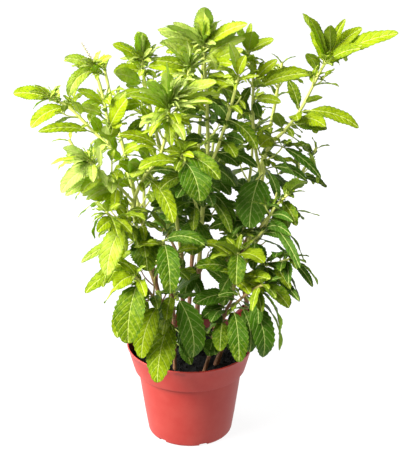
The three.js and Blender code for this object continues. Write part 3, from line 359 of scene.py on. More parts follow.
@dataclass(frozen=True)
class Viewpoint:
    """Where the photograph was taken from. Places are in millimetres and the pitch in degrees."""

    place: tuple = (11.4, -1413, 851)
    pitch: float = 66.35
    focal_pixels: float = 1545
    width: int = 402
    height: int = 449

    def at(self, pixel: tuple[float, float], depth: float) -> np.ndarray:
        """The point that a pixel shows, on the upright plane at a depth along Y.

        Args:
            pixel: The pixel, from the top left.
            depth: The plane's Y.

        Returns:
            The point.
        """
        right = (pixel[0] - self.width / 2) / self.focal_pixels
        up = (self.height / 2 - pixel[1]) / self.focal_pixels
        tilt = self.pitch * RAD
        ray = np.array([right, math.sin(tilt) + up * math.cos(tilt), up * math.sin(tilt) - math.cos(tilt)])
        place = np.array(self.place, float)
        return place + ray * (depth - place[1]) / ray[1]

    def pixels(self, points: np.ndarray) -> np.ndarray:
        """The pixels that show points.

        Args:
            points: The points.

        Returns:
            A pixel for each, from the top left.
        """
        tilt = self.pitch * RAD
        away = points - np.array(self.place, float)
        depth = away[:, 1] * math.sin(tilt) - away[:, 2] * math.cos(tilt)
        up = away[:, 1] * math.cos(tilt) + away[:, 2] * math.sin(tilt)
        right = self.width / 2 + self.focal_pixels * away[:, 0] / depth
        return np.column_stack([right, self.height / 2 - self.focal_pixels * up / depth])


@dataclass(frozen=True)
class PotShape:
    """The pot's driving dimensions, and how low a leaf beside it may hang."""

    height: float = 100
    rim_top: float = 65
    rim_foot: float = 57.5
    band: float = 27
    body_top: float = 53.5
    base: float = 43.5
    wall: float = 1.8
    floor: float = 2.6
    soil: float = 87
    soil_relief: float = 2.2
    lowest_leaf: float = 60

    @property
    def step(self) -> float:
        """The height of the step below the rim band."""
        return self.height - self.band

    def radius_at(self, height: np.ndarray) -> np.ndarray:
        """The outside radius at a height."""
        body = lerp(self.base, self.body_top, np.maximum(0, height) / self.step)
        band = lerp(self.rim_foot, self.rim_top, np.minimum(1, (height - self.step) / self.band))
        return np.where(height < self.step, body, band)

    def keeps_clear(self, points: np.ndarray, gap: float) -> bool:
        """Whether points keep off the pot and the soil, and no point hangs too low.

        Args:
            points: The points.
            gap: How far they have to keep.

        Returns:
            True if they do.
        """
        radius, height = np.hypot(points[:, 0], points[:, 1]), points[:, 2]
        wall = self.radius_at(height)
        outside = (radius > wall + gap) & (height > self.lowest_leaf)
        within = (radius < wall - self.wall - gap) & (height > self.soil + self.soil_relief + gap)
        return bool(np.all((height > self.height + gap) | outside | within))


def lerp(start: float, end: float, share: float) -> float:
    """The value at a share of the way from start to end."""
    return (1 - share) * start + share * end


def colour(red: int, green: int, blue: int) -> tuple[float, float, float, float]:
    """A display colour of 0 to 255 as the linear colour that shaders use, with a full alpha."""
    return (*(((c / 255 + 0.055) / 1.055) ** 2.4 for c in (red, green, blue)), 1.0)


def square_ways(ways: np.ndarray) -> tuple[np.ndarray, np.ndarray]:
    """Directions square to a curve, carried along it without a twist.

    Args:
        ways: The curve's directions at places along it, of length 1.

    Returns:
        Two directions for each place, square to each other and to the curve.
    """
    across = np.array([1.0, 0.0, 0.0])
    carried = []
    for along in ways:
        across = across - along * (across @ along)
        across = across / np.linalg.norm(across)
        carried.append(across)
    return np.array(carried), np.cross(ways, carried)


def distances(points: np.ndarray, others: np.ndarray) -> np.ndarray:
    """How far each point, by row, lies from each of the others, by column."""
    return np.linalg.norm(points[:, None] - others[None], axis=2)


class Draws:
    """Repeatable random numbers from 0 to 1, the ones that placed the solids' leaves."""

    FACTOR = 1664525
    STEP = 1013904223
    RANGE = 2 ** 32

    def __init__(self, seed: int) -> None:
        """Starts the numbers at a seed."""
        self.state = seed

    def next(self) -> float:
        """The next number from 0 to 1."""
        self.state = (self.state * self.FACTOR + self.STEP) % self.RANGE
        return self.state / self.RANGE

    def between(self, low: float, high: float) -> float:
        """The next number, from low to high."""
        return lerp(low, high, self.next())


class Wire:
    """A value in a material's nodes. Python's operators on it add Math nodes."""

    def __init__(self, recipe: "Recipe", socket: bpy.types.NodeSocket) -> None:
        """Wraps an output socket of a recipe's nodes."""
        self.recipe = recipe
        self.socket = socket

    def maths(self, operation: str, *values: "Wire | float") -> "Wire":
        """A Math node that does an operation on values."""
        return self.recipe.add("ShaderNodeMath", {"operation": operation}, dict(enumerate(values)))

    def __add__(self, other: "Wire | float") -> "Wire":
        """The sum."""
        return self.maths("ADD", self, other)

    def __radd__(self, other: float) -> "Wire":
        """The sum, with the number first."""
        return self.maths("ADD", other, self)

    def __sub__(self, other: "Wire | float") -> "Wire":
        """The difference."""
        return self.maths("SUBTRACT", self, other)

    def __rsub__(self, other: float) -> "Wire":
        """The difference, with the number first."""
        return self.maths("SUBTRACT", other, self)

    def __mul__(self, other: "Wire | float") -> "Wire":
        """The product."""
        return self.maths("MULTIPLY", self, other)

    def __rmul__(self, other: float) -> "Wire":
        """The product, with the number first."""
        return self.maths("MULTIPLY", other, self)

    def __pow__(self, other: "Wire | float") -> "Wire":
        """The power."""
        return self.maths("POWER", self, other)

    def __abs__(self) -> "Wire":
        """The size without its sign."""
        return self.maths("ABSOLUTE", self)

    def fraction(self) -> "Wire":
        """What is left over after whole numbers."""
        return self.maths("FRACT", self)

    def smooth(self, low: float, high: float) -> "Wire":
        """A soft step from 0 at low to 1 at high."""
        settings = {"interpolation_type": "SMOOTHSTEP"}
        return self.recipe.add("ShaderNodeMapRange", settings, {0: self, 1: low, 2: high})


class Recipe:
    """A material whose nodes are added from Python expressions."""

    def __init__(self, name: str) -> None:
        """Starts an empty material of this name."""
        self.material = bpy.data.materials.new(name)
        self.material.use_nodes = True
        self.nodes = self.material.node_tree.nodes
        self.links = self.material.node_tree.links
        self.nodes.clear()

    def add(self, kind: str, settings: dict | None = None, inputs: dict | None = None,
            output: int | str = 0) -> Wire:
        """Adds a node.

        Args:
            kind: The node's type.
            settings: Its own settings, which are set before its inputs.
            inputs: A value or a wire for each input, by its name or number.
            output: The output that is wanted, by its name or number.

        Returns:
            That output.
        """
        node = self.nodes.new(kind)
        for name, value in (settings or {}).items():
            setattr(node, name, value)
        for key, value in (inputs or {}).items():
            if isinstance(value, Wire):
                self.links.new(value.socket, node.inputs[key])
            else:
                node.inputs[key].default_value = value
        return Wire(self, node.outputs[output])

    def attribute(self, name: str) -> Wire:
        """A number that the mesh carries at its points."""
        return self.add("ShaderNodeAttribute", {"attribute_name": name}, output="Fac")

    def mixed(self, share: Wire | float, first: Wire | tuple, second: Wire | tuple) -> Wire:
        """A colour between two, 0 for the first and 1 for the second."""
        return self.add("ShaderNodeMix", {"data_type": "RGBA"}, {0: share, 6: first, 7: second}, 2)

    def place(self) -> Wire:
        """The object's own coordinates, in metres."""
        return self.add("ShaderNodeTexCoord", output="Object")

    def along(self, axis: str) -> Wire:
        """The object's own coordinate along an axis, in metres."""
        return self.add("ShaderNodeSeparateXYZ", {}, {0: self.place()}, axis)

    def noise(self, scale: float, detail: float = 2.0, rough: float = 0.5) -> Wire:
        """Soft noise from 0 to 1: lumps to a metre, octaves of finer lumps and their strength."""
        inputs = {"Vector": self.place(), "Scale": scale, "Detail": detail, "Roughness": rough}
        return self.add("ShaderNodeTexNoise", {}, inputs, "Fac")

    def bump(self, height: Wire, strength: float, depth: float) -> Wire:
        """Normals from a height of 0 to 1, how much of it shows, and its depth in metres."""
        return self.add("ShaderNodeBump", {}, {"Height": height, "Strength": strength, "Distance": depth})

    def surface(self, inputs: dict) -> Wire:
        """A plain opaque surface with these inputs."""
        return self.add("ShaderNodeBsdfPrincipled", {}, inputs)

    def finish(self, surface: Wire) -> bpy.types.Material:
        """Joins the surface to the output and returns the material."""
        node = self.nodes.new("ShaderNodeOutputMaterial")
        self.links.new(surface.socket, node.inputs["Surface"])
        return self.material


@dataclass(frozen=True)
class LeafFinish:
    """Living leaf: green with age, paler ribs and underside, light that comes through, and painted light and
    shade.
    """

    name: str = "leaf_green"
    mature: tuple = colour(42, 81, 1)
    young: tuple = colour(190, 208, 10)
    # The painted highlight: the washed-out colour of the most lit young leaves and of the crinkle crests.
    painted_highlight: tuple = colour(214, 226, 130)
    rib: tuple = colour(214, 222, 128)
    # Darker colour towards the leaf's edge; the crinkle pits also take it, as painted shade.
    margin: tuple = colour(66, 98, 8)
    under: tuple = colour(128, 156, 48)
    glow: tuple = colour(170, 208, 12)
    gloss: tuple = colour(222, 244, 146)
    shine: float = 0.28
    relief: float = 0.0009

    def _blade(self, r: Recipe, age: Wire, years: Wire, ribs: Wire, crinkle: Wire) -> Wire:
        """The blade's colour, with its painted highlight and the painted shade and light on its crinkles.

        Args:
            r: The material.
            age: How young the leaf is, with painted light and shade added, from 0 to 1.
            years: The same without bounds.
            ribs: Where its ribs are.
            crinkle: Its fine creases.

        Returns:
            The colour.
        """
        # Past full youth, which painted light raises, the colour washes out to the painted highlight.
        blade = r.mixed(years.smooth(0.82, 1.5) * 0.8, r.mixed(age, self.mature, self.young), self.painted_highlight)
        veined = r.mixed(ribs * (age * 0.35 + 0.4), blade, self.rib)
        # Painted shade in the crinkle pits and painted light on the crinkle crests, where the relief sinks
        # and rises.
        pit_shade = r.mixed((0.5 - crinkle).smooth(0.0, 0.2) * 0.36, veined, self.margin)
        crest_light = r.mixed((crinkle - 0.5).smooth(0.02, 0.22) * 0.12, pit_shade, self.painted_highlight)
        edged = r.mixed(r.attribute("edge").smooth(0.72, 1.0) * 0.4, crest_light, self.margin)
        return r.mixed(r.attribute("under") * 0.4, edged, self.under)

    def material(self) -> bpy.types.Material:
        """Builds the leaf's material."""
        r = Recipe(self.name)
        vein, patch, grain = r.attribute("vein"), r.noise(90, 3), r.noise(1400, 2)
        crinkle = r.noise(360, 4, 0.65)
        # The youth attribute holds the leaf's age together with painted light and shade.
        years = r.attribute("youth") + r.attribute("tone") * 0.3 + (patch - 0.5) * 0.5 \
            + (crinkle - 0.5) * 0.9 + (vein - 3.5) * 0.025
        age = years.smooth(-0.1, 1.15)
        midrib = 1 - r.attribute("rib").smooth(0.2, 0.6)
        side_ribs = 1 - (0.5 - abs(vein.fraction() - 0.5)).smooth(0.02, 0.16)
        ribs = midrib.maths("MAXIMUM", midrib, side_ribs * 0.3)
        height = grain * 0.2 + crinkle * 0.8 + (1 - side_ribs) * 0.45 + (1 - midrib) * 0.3
        face = r.surface({
            "Base Color": self._blade(r, age, years, ribs, crinkle), "Roughness": patch * 0.24 + 0.38,
            "Specular IOR Level": self.shine, "Specular Tint": self.gloss,
            "Normal": r.bump(height, 0.9, self.relief)})
        glow = r.add("ShaderNodeBsdfTranslucent", {}, {"Color": self.glow})
        passed = (age * 0.36 + 0.1) * (1 - ribs * 0.6) * (crinkle * 1.2 + 0.4)
        return r.finish(r.add("ShaderNodeMixShader", {}, {0: passed, 1: face, 2: glow}))


@dataclass(frozen=True)
class StemFinish:
    """Stem bark: downy green at the tips, turning brown and ridged towards the foot."""

    name: str = "stem_bark"
    green: tuple = colour(198, 206, 98)
    brown: tuple = colour(122, 72, 46)
    down: tuple = colour(214, 214, 160)

    def material(self) -> bpy.types.Material:
        """Builds the stem's material."""
        r = Recipe(self.name)
        grain = r.noise(900, 3, 0.6)
        age = (r.attribute("youth") + (r.noise(60, 2) - 0.5) * 0.4).smooth(0.1, 0.6)
        bark = r.mixed(age, self.brown, self.green)
        shown = r.mixed(grain.smooth(0.35, 0.75) * 0.25, bark, self.down)
        return r.finish(r.surface({
            "Base Color": shown, "Roughness": grain * 0.2 + 0.55, "Specular IOR Level": 0.3,
            "Normal": r.bump(grain, 0.5, 0.0004)}))


@dataclass(frozen=True)
class FlowerFinish:
    """Small calyces and buds: pale green, flushed with dusky pink."""

    name: str = "flower_buds"
    calyx: tuple = colour(196, 204, 140)
    flush: tuple = colour(200, 150, 160)

    def material(self) -> bpy.types.Material:
        """Builds the flowers' material."""
        r = Recipe(self.name)
        shown = r.mixed(r.noise(700, 2).smooth(0.35, 0.65), self.calyx, self.flush)
        return r.finish(r.surface({
            "Base Color": shown, "Roughness": 0.6, "Sheen Weight": 0.3,
            "Normal": r.bump(r.noise(3000, 2), 0.3, 0.0002)}))


@dataclass(frozen=True)
class PotPlastic:
    """Moulded terracotta-red plastic: satin, faintly mottled, scuffed and dusty in places; painted shade
    inside.
    """

    shape: PotShape
    name: str = "pot_plastic"
    body: tuple = colour(158, 42, 33)
    worn: tuple = colour(182, 84, 72)
    dirt: tuple = colour(74, 28, 24)
    # Painted shade on the inside of the rim band, above the soil.
    rim_inner_shade: tuple = colour(46, 20, 16)
    dusty: float = 12

    def _painted_shade_inside(self, r: Recipe, height: Wire) -> Wire:
        """How far a point lies on the inside of the rim band, where painted shade darkens it."""
        s = self.shape
        across, deep = r.along("X"), r.along("Y")
        radius = (across * across + deep * deep) ** 0.5
        rim = (height - s.step * MM) * ((s.rim_top - s.rim_foot) / s.band) + s.rim_foot * MM
        below_edge = 1 - height.smooth((s.height - 1.6) * MM, (s.height - 0.4) * MM)
        above_soil = height.smooth((s.soil - 6) * MM, (s.soil - 4) * MM)
        return (rim - radius).smooth(0.9 * MM, 1.3 * MM) * below_edge * above_soil

    def material(self) -> bpy.types.Material:
        """Builds the pot's material."""
        r = Recipe(self.name)
        mottle = r.noise(35, 4, 0.6)
        scuffs = r.noise(240, 5, 0.7).smooth(0.6, 0.74)
        height = r.along("Z")
        near_rim = height.smooth((self.shape.height - self.dusty) * MM, self.shape.height * MM)
        near_foot = 1 - height.smooth(0.0, self.dusty * MM)
        grime = r.noise(130, 4, 0.65).smooth(0.5, 0.72) * (near_rim + near_foot * 0.6) * 0.45
        plain = r.mixed(mottle.smooth(0.3, 0.7) * 0.22, self.body, self.worn)
        grimy = r.mixed(grime, r.mixed(scuffs * 0.18, plain, self.worn), self.dirt)
        # Painted shade on the inside of the rim band.
        shown = r.mixed(self._painted_shade_inside(r, height) * 0.8, grimy, self.rim_inner_shade)
        relief = r.noise(2600, 2) * 0.5 + mottle * 0.5
        return r.finish(r.surface({
            "Base Color": shown, "Roughness": mottle * 0.16 + scuffs * 0.1 + 0.4,
            "Specular IOR Level": 0.3, "Coat Weight": 0.05, "Coat Roughness": 0.4,
            "Normal": r.bump(relief, 0.18, 0.0004)}))


@dataclass(frozen=True)
class PottingSoil:
    """Damp peat: near black with brown fibres and a few pale grains."""

    name: str = "potting_soil"
    damp: tuple = colour(3, 3, 2)
    crumb: tuple = colour(7, 6, 4)
    grain: tuple = colour(28, 27, 20)

    def material(self) -> bpy.types.Material:
        """Builds the soil's material."""
        r = Recipe(self.name)
        lumps = r.noise(260, 5, 0.7)
        peat = r.mixed(lumps.smooth(0.4, 0.72), self.damp, self.crumb)
        shown = r.mixed(r.noise(1900, 2).smooth(0.68, 0.76) * 0.5, peat, self.grain)
        return r.finish(r.surface({
            "Base Color": shown, "Roughness": lumps * 0.3 + 0.62, "Specular IOR Level": 0.15,
            "Normal": r.bump(r.noise(1100, 5, 0.7), 0.8, 0.0012)}))


@dataclass(frozen=True)
class TieFinish:
    """Woven garden tie, plain but for painted shade on its folds."""

    name: str
    cloth: tuple
    shade: tuple

    def material(self) -> bpy.types.Material:
        """Builds the tie's material."""
        r = Recipe(self.name)
        weave = r.noise(2400, 2)
        # Painted shade in noise patches, standing for the folds.
        shown = r.mixed(r.noise(300, 3).smooth(0.35, 0.7) * 0.7, self.cloth, self.shade)
        return r.finish(r.surface({
            "Base Color": shown, "Roughness": weave * 0.2 + 0.5, "Sheen Weight": 0.05,
            "Normal": r.bump(weave, 0.5, 0.0003)}))


@dataclass(frozen=True)
class StudioPaper:
    """A white floor that is lit from within, so that shadows on it stay faint."""

    name: str = "studio_paper"
    white: tuple = (0.1, 0.1, 0.1, 1.0)
    paler: tuple = (0.13, 0.13, 0.13, 1.0)
    glow: float = 0.93

    def material(self) -> bpy.types.Material:
        """Builds the floor's material."""
        r = Recipe(self.name)
        return r.finish(r.surface({
            "Base Color": r.mixed(r.noise(3, 2) * 0.1, self.white, self.paler), "Roughness": 0.9,
            "Specular IOR Level": 0.1, "Emission Color": (1, 1, 1, 1), "Emission Strength": self.glow}))


@dataclass(frozen=True)
class FacePlan:
    """The faces of a patch: its corners' points, each face's size, and the bake map's spots."""

    loops: np.ndarray
    counts: np.ndarray
    cells: np.ndarray
    spots: np.ndarray

    @classmethod
    def of(cls, faces: list) -> "FacePlan":
        """Packs faces, each a list of corners of (point, cell, u, v), into arrays."""
        points, cells, u, v = zip(*(corner for face in faces for corner in face))
        return cls(np.array(points), np.array([len(face) for face in faces]), np.array(cells),
                   np.column_stack([u, v]))


class Patchwork:
    """Gathers patches of faces and makes one mesh of them, with a bake map cell for each."""

    CELL_MARGIN = 0.04
    CRISP_EDGE = 50 * RAD

    def __init__(self) -> None:
        """Starts with no patches."""
        self.points, self.loops, self.counts, self.slots = [], [], [], []
        self.cells, self.spots = [], []
        self.values = {name: [] for name in ("youth", "tone", "rib", "vein", "under", "edge")}
        self.size = 0
        self.cell_count = 0

    def add(self, points: np.ndarray, plan: FacePlan, slot: int, values: dict) -> None:
        """Adds a patch.

        Args:
            points: Its points, in millimetres.
            plan: Its faces and their places in the bake map.
            slot: The number of its material.
            values: Numbers at its points, by name. One number may stand for all.
        """
        self.points.append(points)
        self.loops.append(plan.loops + self.size)
        self.counts.append(plan.counts)
        self.slots.append(np.full(len(plan.counts), slot, np.int32))
        self.cells.append(plan.cells + self.cell_count)
        self.spots.append(plan.spots)
        for name, stored in self.values.items():
            stored.append(np.broadcast_to(values.get(name, 0.0), (len(points),)))
        self.size += len(points)
        self.cell_count += int(plan.cells.max()) + 1

    def make(self, name: str, materials: list) -> bpy.types.Object:
        """Makes the object.

        Args:
            name: Its name.
            materials: Its materials in the order of the patches' slots.

        Returns:
            The object, at the origin.
        """
        mesh = bpy.data.meshes.new(name)
        loops, counts = np.concatenate(self.loops), np.concatenate(self.counts)
        mesh.vertices.add(self.size)
        mesh.vertices.foreach_set("co", (np.concatenate(self.points) * MM).astype(np.float32).ravel())
        mesh.loops.add(len(loops))
        mesh.loops.foreach_set("vertex_index", loops.astype(np.int32))
        mesh.polygons.add(len(counts))
        starts = np.concatenate([[0], np.cumsum(counts)[:-1]])
        mesh.polygons.foreach_set("loop_start", starts.astype(np.int32))
        mesh.polygons.foreach_set("material_index", np.concatenate(self.slots))
        mesh.polygons.foreach_set("use_smooth", np.ones(len(counts), bool))
        for key, stored in self.values.items():
            layer = mesh.attributes.new(key, "FLOAT", "POINT")
            layer.data.foreach_set("value", np.concatenate(stored).astype(np.float32))
        across = math.ceil(math.sqrt(self.cell_count))
        cells, spots = np.concatenate(self.cells), np.concatenate(self.spots)
        places = np.column_stack([cells % across + spots[:, 0], cells // across + spots[:, 1]])
        bake_map = mesh.uv_layers.new(name="OFBake")
        bake_map.data.foreach_set("uv", (places / across).astype(np.float32).ravel())
        mesh.update(calc_edges=True)
        mesh.validate()
        mesh.set_sharp_from_angle(angle=self.CRISP_EDGE)
        for material in materials:
            mesh.materials.append(material)
        return object_of(name, mesh)


def object_of(name: str, mesh: bpy.types.Mesh) -> bpy.types.Object:
    """An object in the scene, at the origin, that shows a mesh."""
    made = bpy.data.objects.new(name, mesh)
    bpy.context.scene.collection.objects.link(made)
    return made


@lru_cache(maxsize=None)
def sheet_plan(rows: int, columns: int) -> FacePlan:
    """The faces of a thin closed sheet that ends in one tip.

    Its points are the upper face's rows, the lower face's rows and the tip.

    Args:
        rows: Rows of points from the foot to the tip.
        columns: Points in a row.

    Returns:
        The faces.
    """
    edge = 0.06
    side, span = edge / 2, 1 - 2 * edge
    last, end, lower = columns - 1, rows - 1, rows * columns

    def corner(i: int, j: int, below: int = 0, cell: int = 0, out: float = 0.0) -> tuple:
        """A corner at row i and column j. out is how far past the margin its spot lies."""
        return (below * lower + i * columns + j, cell, edge + span * j / last + out, edge + span * i / rows)

    faces = []
    square = ((0, 0), (1, 0), (1, 1), (0, 1))
    for i in range(end):
        for j in range(last):
            faces.append([corner(i + a, j + b) for a, b in square])
            faces.append([corner(i + a, j + 1 - b, 1, 1) for a, b in square])
        faces.append([corner(i, 0), corner(i, 0, 1, 0, -side), corner(i + 1, 0, 1, 0, -side),
                      corner(i + 1, 0)])
        faces.append([corner(i, last), corner(i + 1, last), corner(i + 1, last, 1, 0, side),
                      corner(i, last, 1, 0, side)])
    for j in range(last):
        under = [(*corner(0, k, 1)[:3], side) for k in (j + 1, j)]
        faces.append([corner(0, j), corner(0, j + 1), *under])
    top, under_top = [(2 * lower, cell, 0.5, 1 - edge) for cell in (0, 1)]
    for j in range(last):
        faces.append([corner(end, j), top, corner(end, j + 1)])
        faces.append([corner(end, j + 1, 1, 1), under_top, corner(end, j, 1, 1)])
    faces.append([corner(end, 0), corner(end, 0, 1, 0, -side), top])
    faces.append([corner(end, last), top, corner(end, last, 1, 0, side)])
    return FacePlan.of(faces)


@lru_cache(maxsize=None)
def tube_plan(rows: int, sides: int) -> FacePlan:
    """The faces of a closed tube.

    Args:
        rows: Rings of points.
        sides: Points in a ring.

    Returns:
        The faces.
    """
    margin, span = Patchwork.CELL_MARGIN, 1 - 2 * Patchwork.CELL_MARGIN
    half = margin / 2

    def corner(i: int, k: int) -> tuple:
        """A corner at ring i and side k."""
        return (i * sides + k % sides, 0, margin + span * k / sides, margin + span * i / (rows - 1))

    def capped(i: int, k: int, low: float) -> tuple:
        """A corner of an end cap, whose spot is in the cell's corner."""
        turn = 2 * math.pi * k / sides
        return (i * sides + k, 0, half + 0.8 * half * math.cos(turn), low + 0.8 * half * math.sin(turn))

    faces = [[corner(i, k), corner(i, k + 1), corner(i + 1, k + 1), corner(i + 1, k)]
             for i in range(rows - 1) for k in range(sides)]
    faces.append([capped(0, k, half) for k in reversed(range(sides))])
    faces.append([capped(rows - 1, k, 1 - half) for k in range(sides)])
    return FacePlan.of(faces)


def tube_points(middles: np.ndarray, ways: np.ndarray, radii: np.ndarray, sides: int,
                squareness: float = 0.0) -> np.ndarray:
    """The points of a tube.

    Args:
        middles: The middle of each ring.
        ways: The direction of the tube at each ring, of length 1.
        radii: The radius of each ring.
        sides: Points in a ring.
        squareness: How far the section goes from round to square.

    Returns:
        The points, ring by ring.
    """
    across, up = square_ways(ways)
    turns = 2 * np.pi * np.arange(sides)[None, :, None] / sides
    out = np.cos(turns) * across[:, None] + np.sin(turns) * up[:, None]
    reach = radii[:, None, None] * (1 + squareness * np.cos(4 * turns))
    return (middles[:, None] + reach * out).reshape(-1, 3)


@dataclass
class Shoot:
    """A stem or side shoot: a smooth curve through its points, with a tapering radius."""

    name: str
    node: str
    radius: tuple[float, float]
    leafy: float
    route: np.ndarray
    twig: bool = False
    samples: np.ndarray = field(init=False)
    lengths: np.ndarray = field(init=False)

    def __post_init__(self) -> None:
        """Measures the shoot along its curve."""
        self.samples = self.at(self.shares)
        spans = np.linalg.norm(np.diff(self.samples, axis=0), axis=1)
        self.lengths = np.concatenate([[0.0], np.cumsum(spans)])

    @property
    def steps(self) -> int:
        """How many steps the curve is measured in."""
        return 12 if self.twig else 48

    @property
    def shares(self) -> np.ndarray:
        """The shares of the curve at which it is sampled."""
        return np.arange(self.steps + 1) / self.steps

    @property
    def length(self) -> float:
        """The shoot's length."""
        return float(self.lengths[-1])

    def at(self, shares: np.ndarray) -> np.ndarray:
        """Points on the curve.

        Args:
            shares: Shares of the curve, from 0 at the foot to 1 at the tip.

        Returns:
            A point for each share.
        """
        p = self.route
        ends = np.vstack([(p[0] - p[1]) + p[0], p, (p[-1] - p[-2]) + p[-1]])
        x = (len(p) - 1) * np.atleast_1d(np.asarray(shares, float))
        i = np.minimum(np.floor(x).astype(int), len(p) - 2)
        w = (x - i)[:, None]
        a, b, c, d = ends[i], ends[i + 1], ends[i + 2], ends[i + 3]
        start, end = 0.5 * (c - a), 0.5 * (d - b)
        square = -3 * b + 3 * c - 2 * start - end
        cube = 2 * b - 2 * c + start + end
        return b + start * w + square * (w * w) + cube * (w * w * w)

    def way(self, shares: np.ndarray) -> np.ndarray:
        """The curve's direction at shares of it, of length 1."""
        shares = np.atleast_1d(np.asarray(shares, float))
        nudge = 0.0001
        step = self.at(np.minimum(shares + nudge, 1)) - self.at(np.maximum(shares - nudge, 0))
        return step / np.linalg.norm(step, axis=1)[:, None]

    def directions(self, share: float, angle: float) -> tuple[np.ndarray, np.ndarray]:
        """The curve's way, and a direction square to it.

        Args:
            share: The share of the curve.
            angle: The angle round the curve of the square direction.

        Returns:
            The two directions.
        """
        along = self.way(share)[0]
        across = np.array([0.8, 0.6, 0.0])
        across = across - along * (along @ across)
        across = across / np.linalg.norm(across)
        return along, across * math.cos(angle) + np.cross(along, across) * math.sin(angle)

    def share_at(self, distance: float) -> float:
        """The share of the curve at a distance along it."""
        i = min(max(1, int(np.searchsorted(self.lengths, distance))), self.steps)
        before, after = self.lengths[i - 1], self.lengths[i]
        return min(1.0, (i - 1 + (distance - before) / (after - before)) / self.steps)


@dataclass
class Leaf:
    """A leaf whose stalk and midrib lie on one arc in an upright plane.

    The arc leaves the stem at the leaf's rise above the horizontal and bends down by its bend
    over its length. Angles are in radians.
    """

    WAVES = 15
    SIDES_APART = 1.3

    node: str
    shoot: str
    root: np.ndarray
    turn: float
    rise: float
    length: float
    stalk: float
    half: float
    bend: float
    fold: float
    roll: float
    wave: float
    phase: float
    maturity: float
    tone: float = 0.0
    # flush: added youth, and the painted light (above 0) and painted shade (below 0) of the leaf's place.
    flush: float = 0.0

    @property
    def blade(self) -> float:
        """The blade's length."""
        return self.length - self.stalk

    def frames(self, distance: np.ndarray) -> tuple[np.ndarray, np.ndarray, np.ndarray]:
        """The leaf's middle line and the directions across it and off it.

        Args:
            distance: Distances from the stem along the leaf.

        Returns:
            Middle points, sideways directions and upward directions.
        """
        curvature = self.bend / self.length
        angle = self.rise - curvature * distance
        out = (math.sin(self.rise) - np.sin(angle)) / curvature
        up = (np.cos(angle) - math.cos(self.rise)) / curvature
        cos_turn, sin_turn = math.cos(self.turn), math.sin(self.turn)
        middle = np.column_stack([out * cos_turn, out * sin_turn, up]) + self.root
        flat_side = np.array([-sin_turn, cos_turn, 0.0])
        back = -np.sin(angle)
        flat_up = np.column_stack([back * cos_turn, back * sin_turn, np.cos(angle)])
        side = flat_side * math.cos(self.roll) + flat_up * math.sin(self.roll)
        normal = flat_up * math.cos(self.roll) - flat_side * math.sin(self.roll)
        return middle, side, normal

    def half_width(self, share: np.ndarray, widest: float = 0.82, bluntness: float = 0.85) -> np.ndarray:
        """Half the blade's width at a share of its length: an oval, widest below the middle."""
        bounded = np.clip(share, 0, 1)
        return self.half * np.maximum(np.sin(np.pi * bounded ** widest), 0) ** bluntness

    def outline(self, share: np.ndarray) -> np.ndarray:
        """Half the fine blade's width at a share of its length, with a blunter tip."""
        return self.half_width(share, 0.94, 0.56)

    def surface(self, distance: np.ndarray, across: np.ndarray,
                width: np.ndarray) -> tuple[np.ndarray, np.ndarray]:
        """Points of the blade's middle surface, folded along the midrib with waved edges.

        Args:
            distance: Distances from the stem along the leaf.
            across: From -1 to 1 over the local half width.
            width: The local half width.

        Returns:
            The points and the upward directions there.
        """
        middle, side, normal = self.frames(distance)
        share = (distance - self.stalk) / self.blade
        edge = np.abs(across)
        phase = self.phase + np.where(across > 0, self.SIDES_APART, 0.0)
        wave = np.where(share > 0, self.wave * np.sin(self.WAVES * share + phase) * edge ** 2, 0.0)
        lift = edge * width * math.sin(self.fold) * (1 - 0.3 * edge) + wave
        sideways = (across * width * math.cos(self.fold))[:, None] * side
        return middle + sideways + lift[:, None] * normal, normal

    def spread(self, step: float) -> tuple[np.ndarray, np.ndarray]:
        """Points all over the leaf.

        Args:
            step: About how far apart they are.

        Returns:
            The points and their distances from the stem along the leaf.
        """
        stalk_rows = math.ceil(self.stalk / step)
        along_stalk = self.stalk * np.arange(1, stalk_rows) / max(stalk_rows, 1)
        rows = math.ceil(self.blade / step)
        columns = math.ceil(self.half / step)
        shares = np.arange(rows + 1) / rows
        across = np.arange(-columns, columns + 1) / columns
        distance = np.repeat(self.stalk + self.blade * shares, len(across))
        width = np.repeat(self.half_width(shares), len(across))
        blade, _ = self.surface(distance, np.tile(across, len(shares)), width)
        stalk, _, _ = self.frames(along_stalk)
        return np.vstack([stalk, blade]), np.concatenate([along_stalk, distance])


@dataclass(frozen=True)
class Clearance:
    """How far a leaf keeps from what stands round it, and how coarsely that is tested."""

    step: float
    other_leaves: float
    sister_leaves: float
    other_stem: float
    own_stem: float
    pot: float
    free_foot: float


LARGE_CLEARANCE = Clearance(3.1, 4.4, 2.8, 3, 1.6, 3, 9)
SMALL_CLEARANCE = Clearance(2.6, 2.3, 1.7, 1.5, 0.6, 3, 6)
TUFT_CLEARANCE = Clearance(2.4, 1.4, 0.6, 1.2, 0.3, 3, 6)
TURNED_CLEARANCE = Clearance(3.1, 2.0, 1.3, 1.5, 0.5, 2.5, 9)


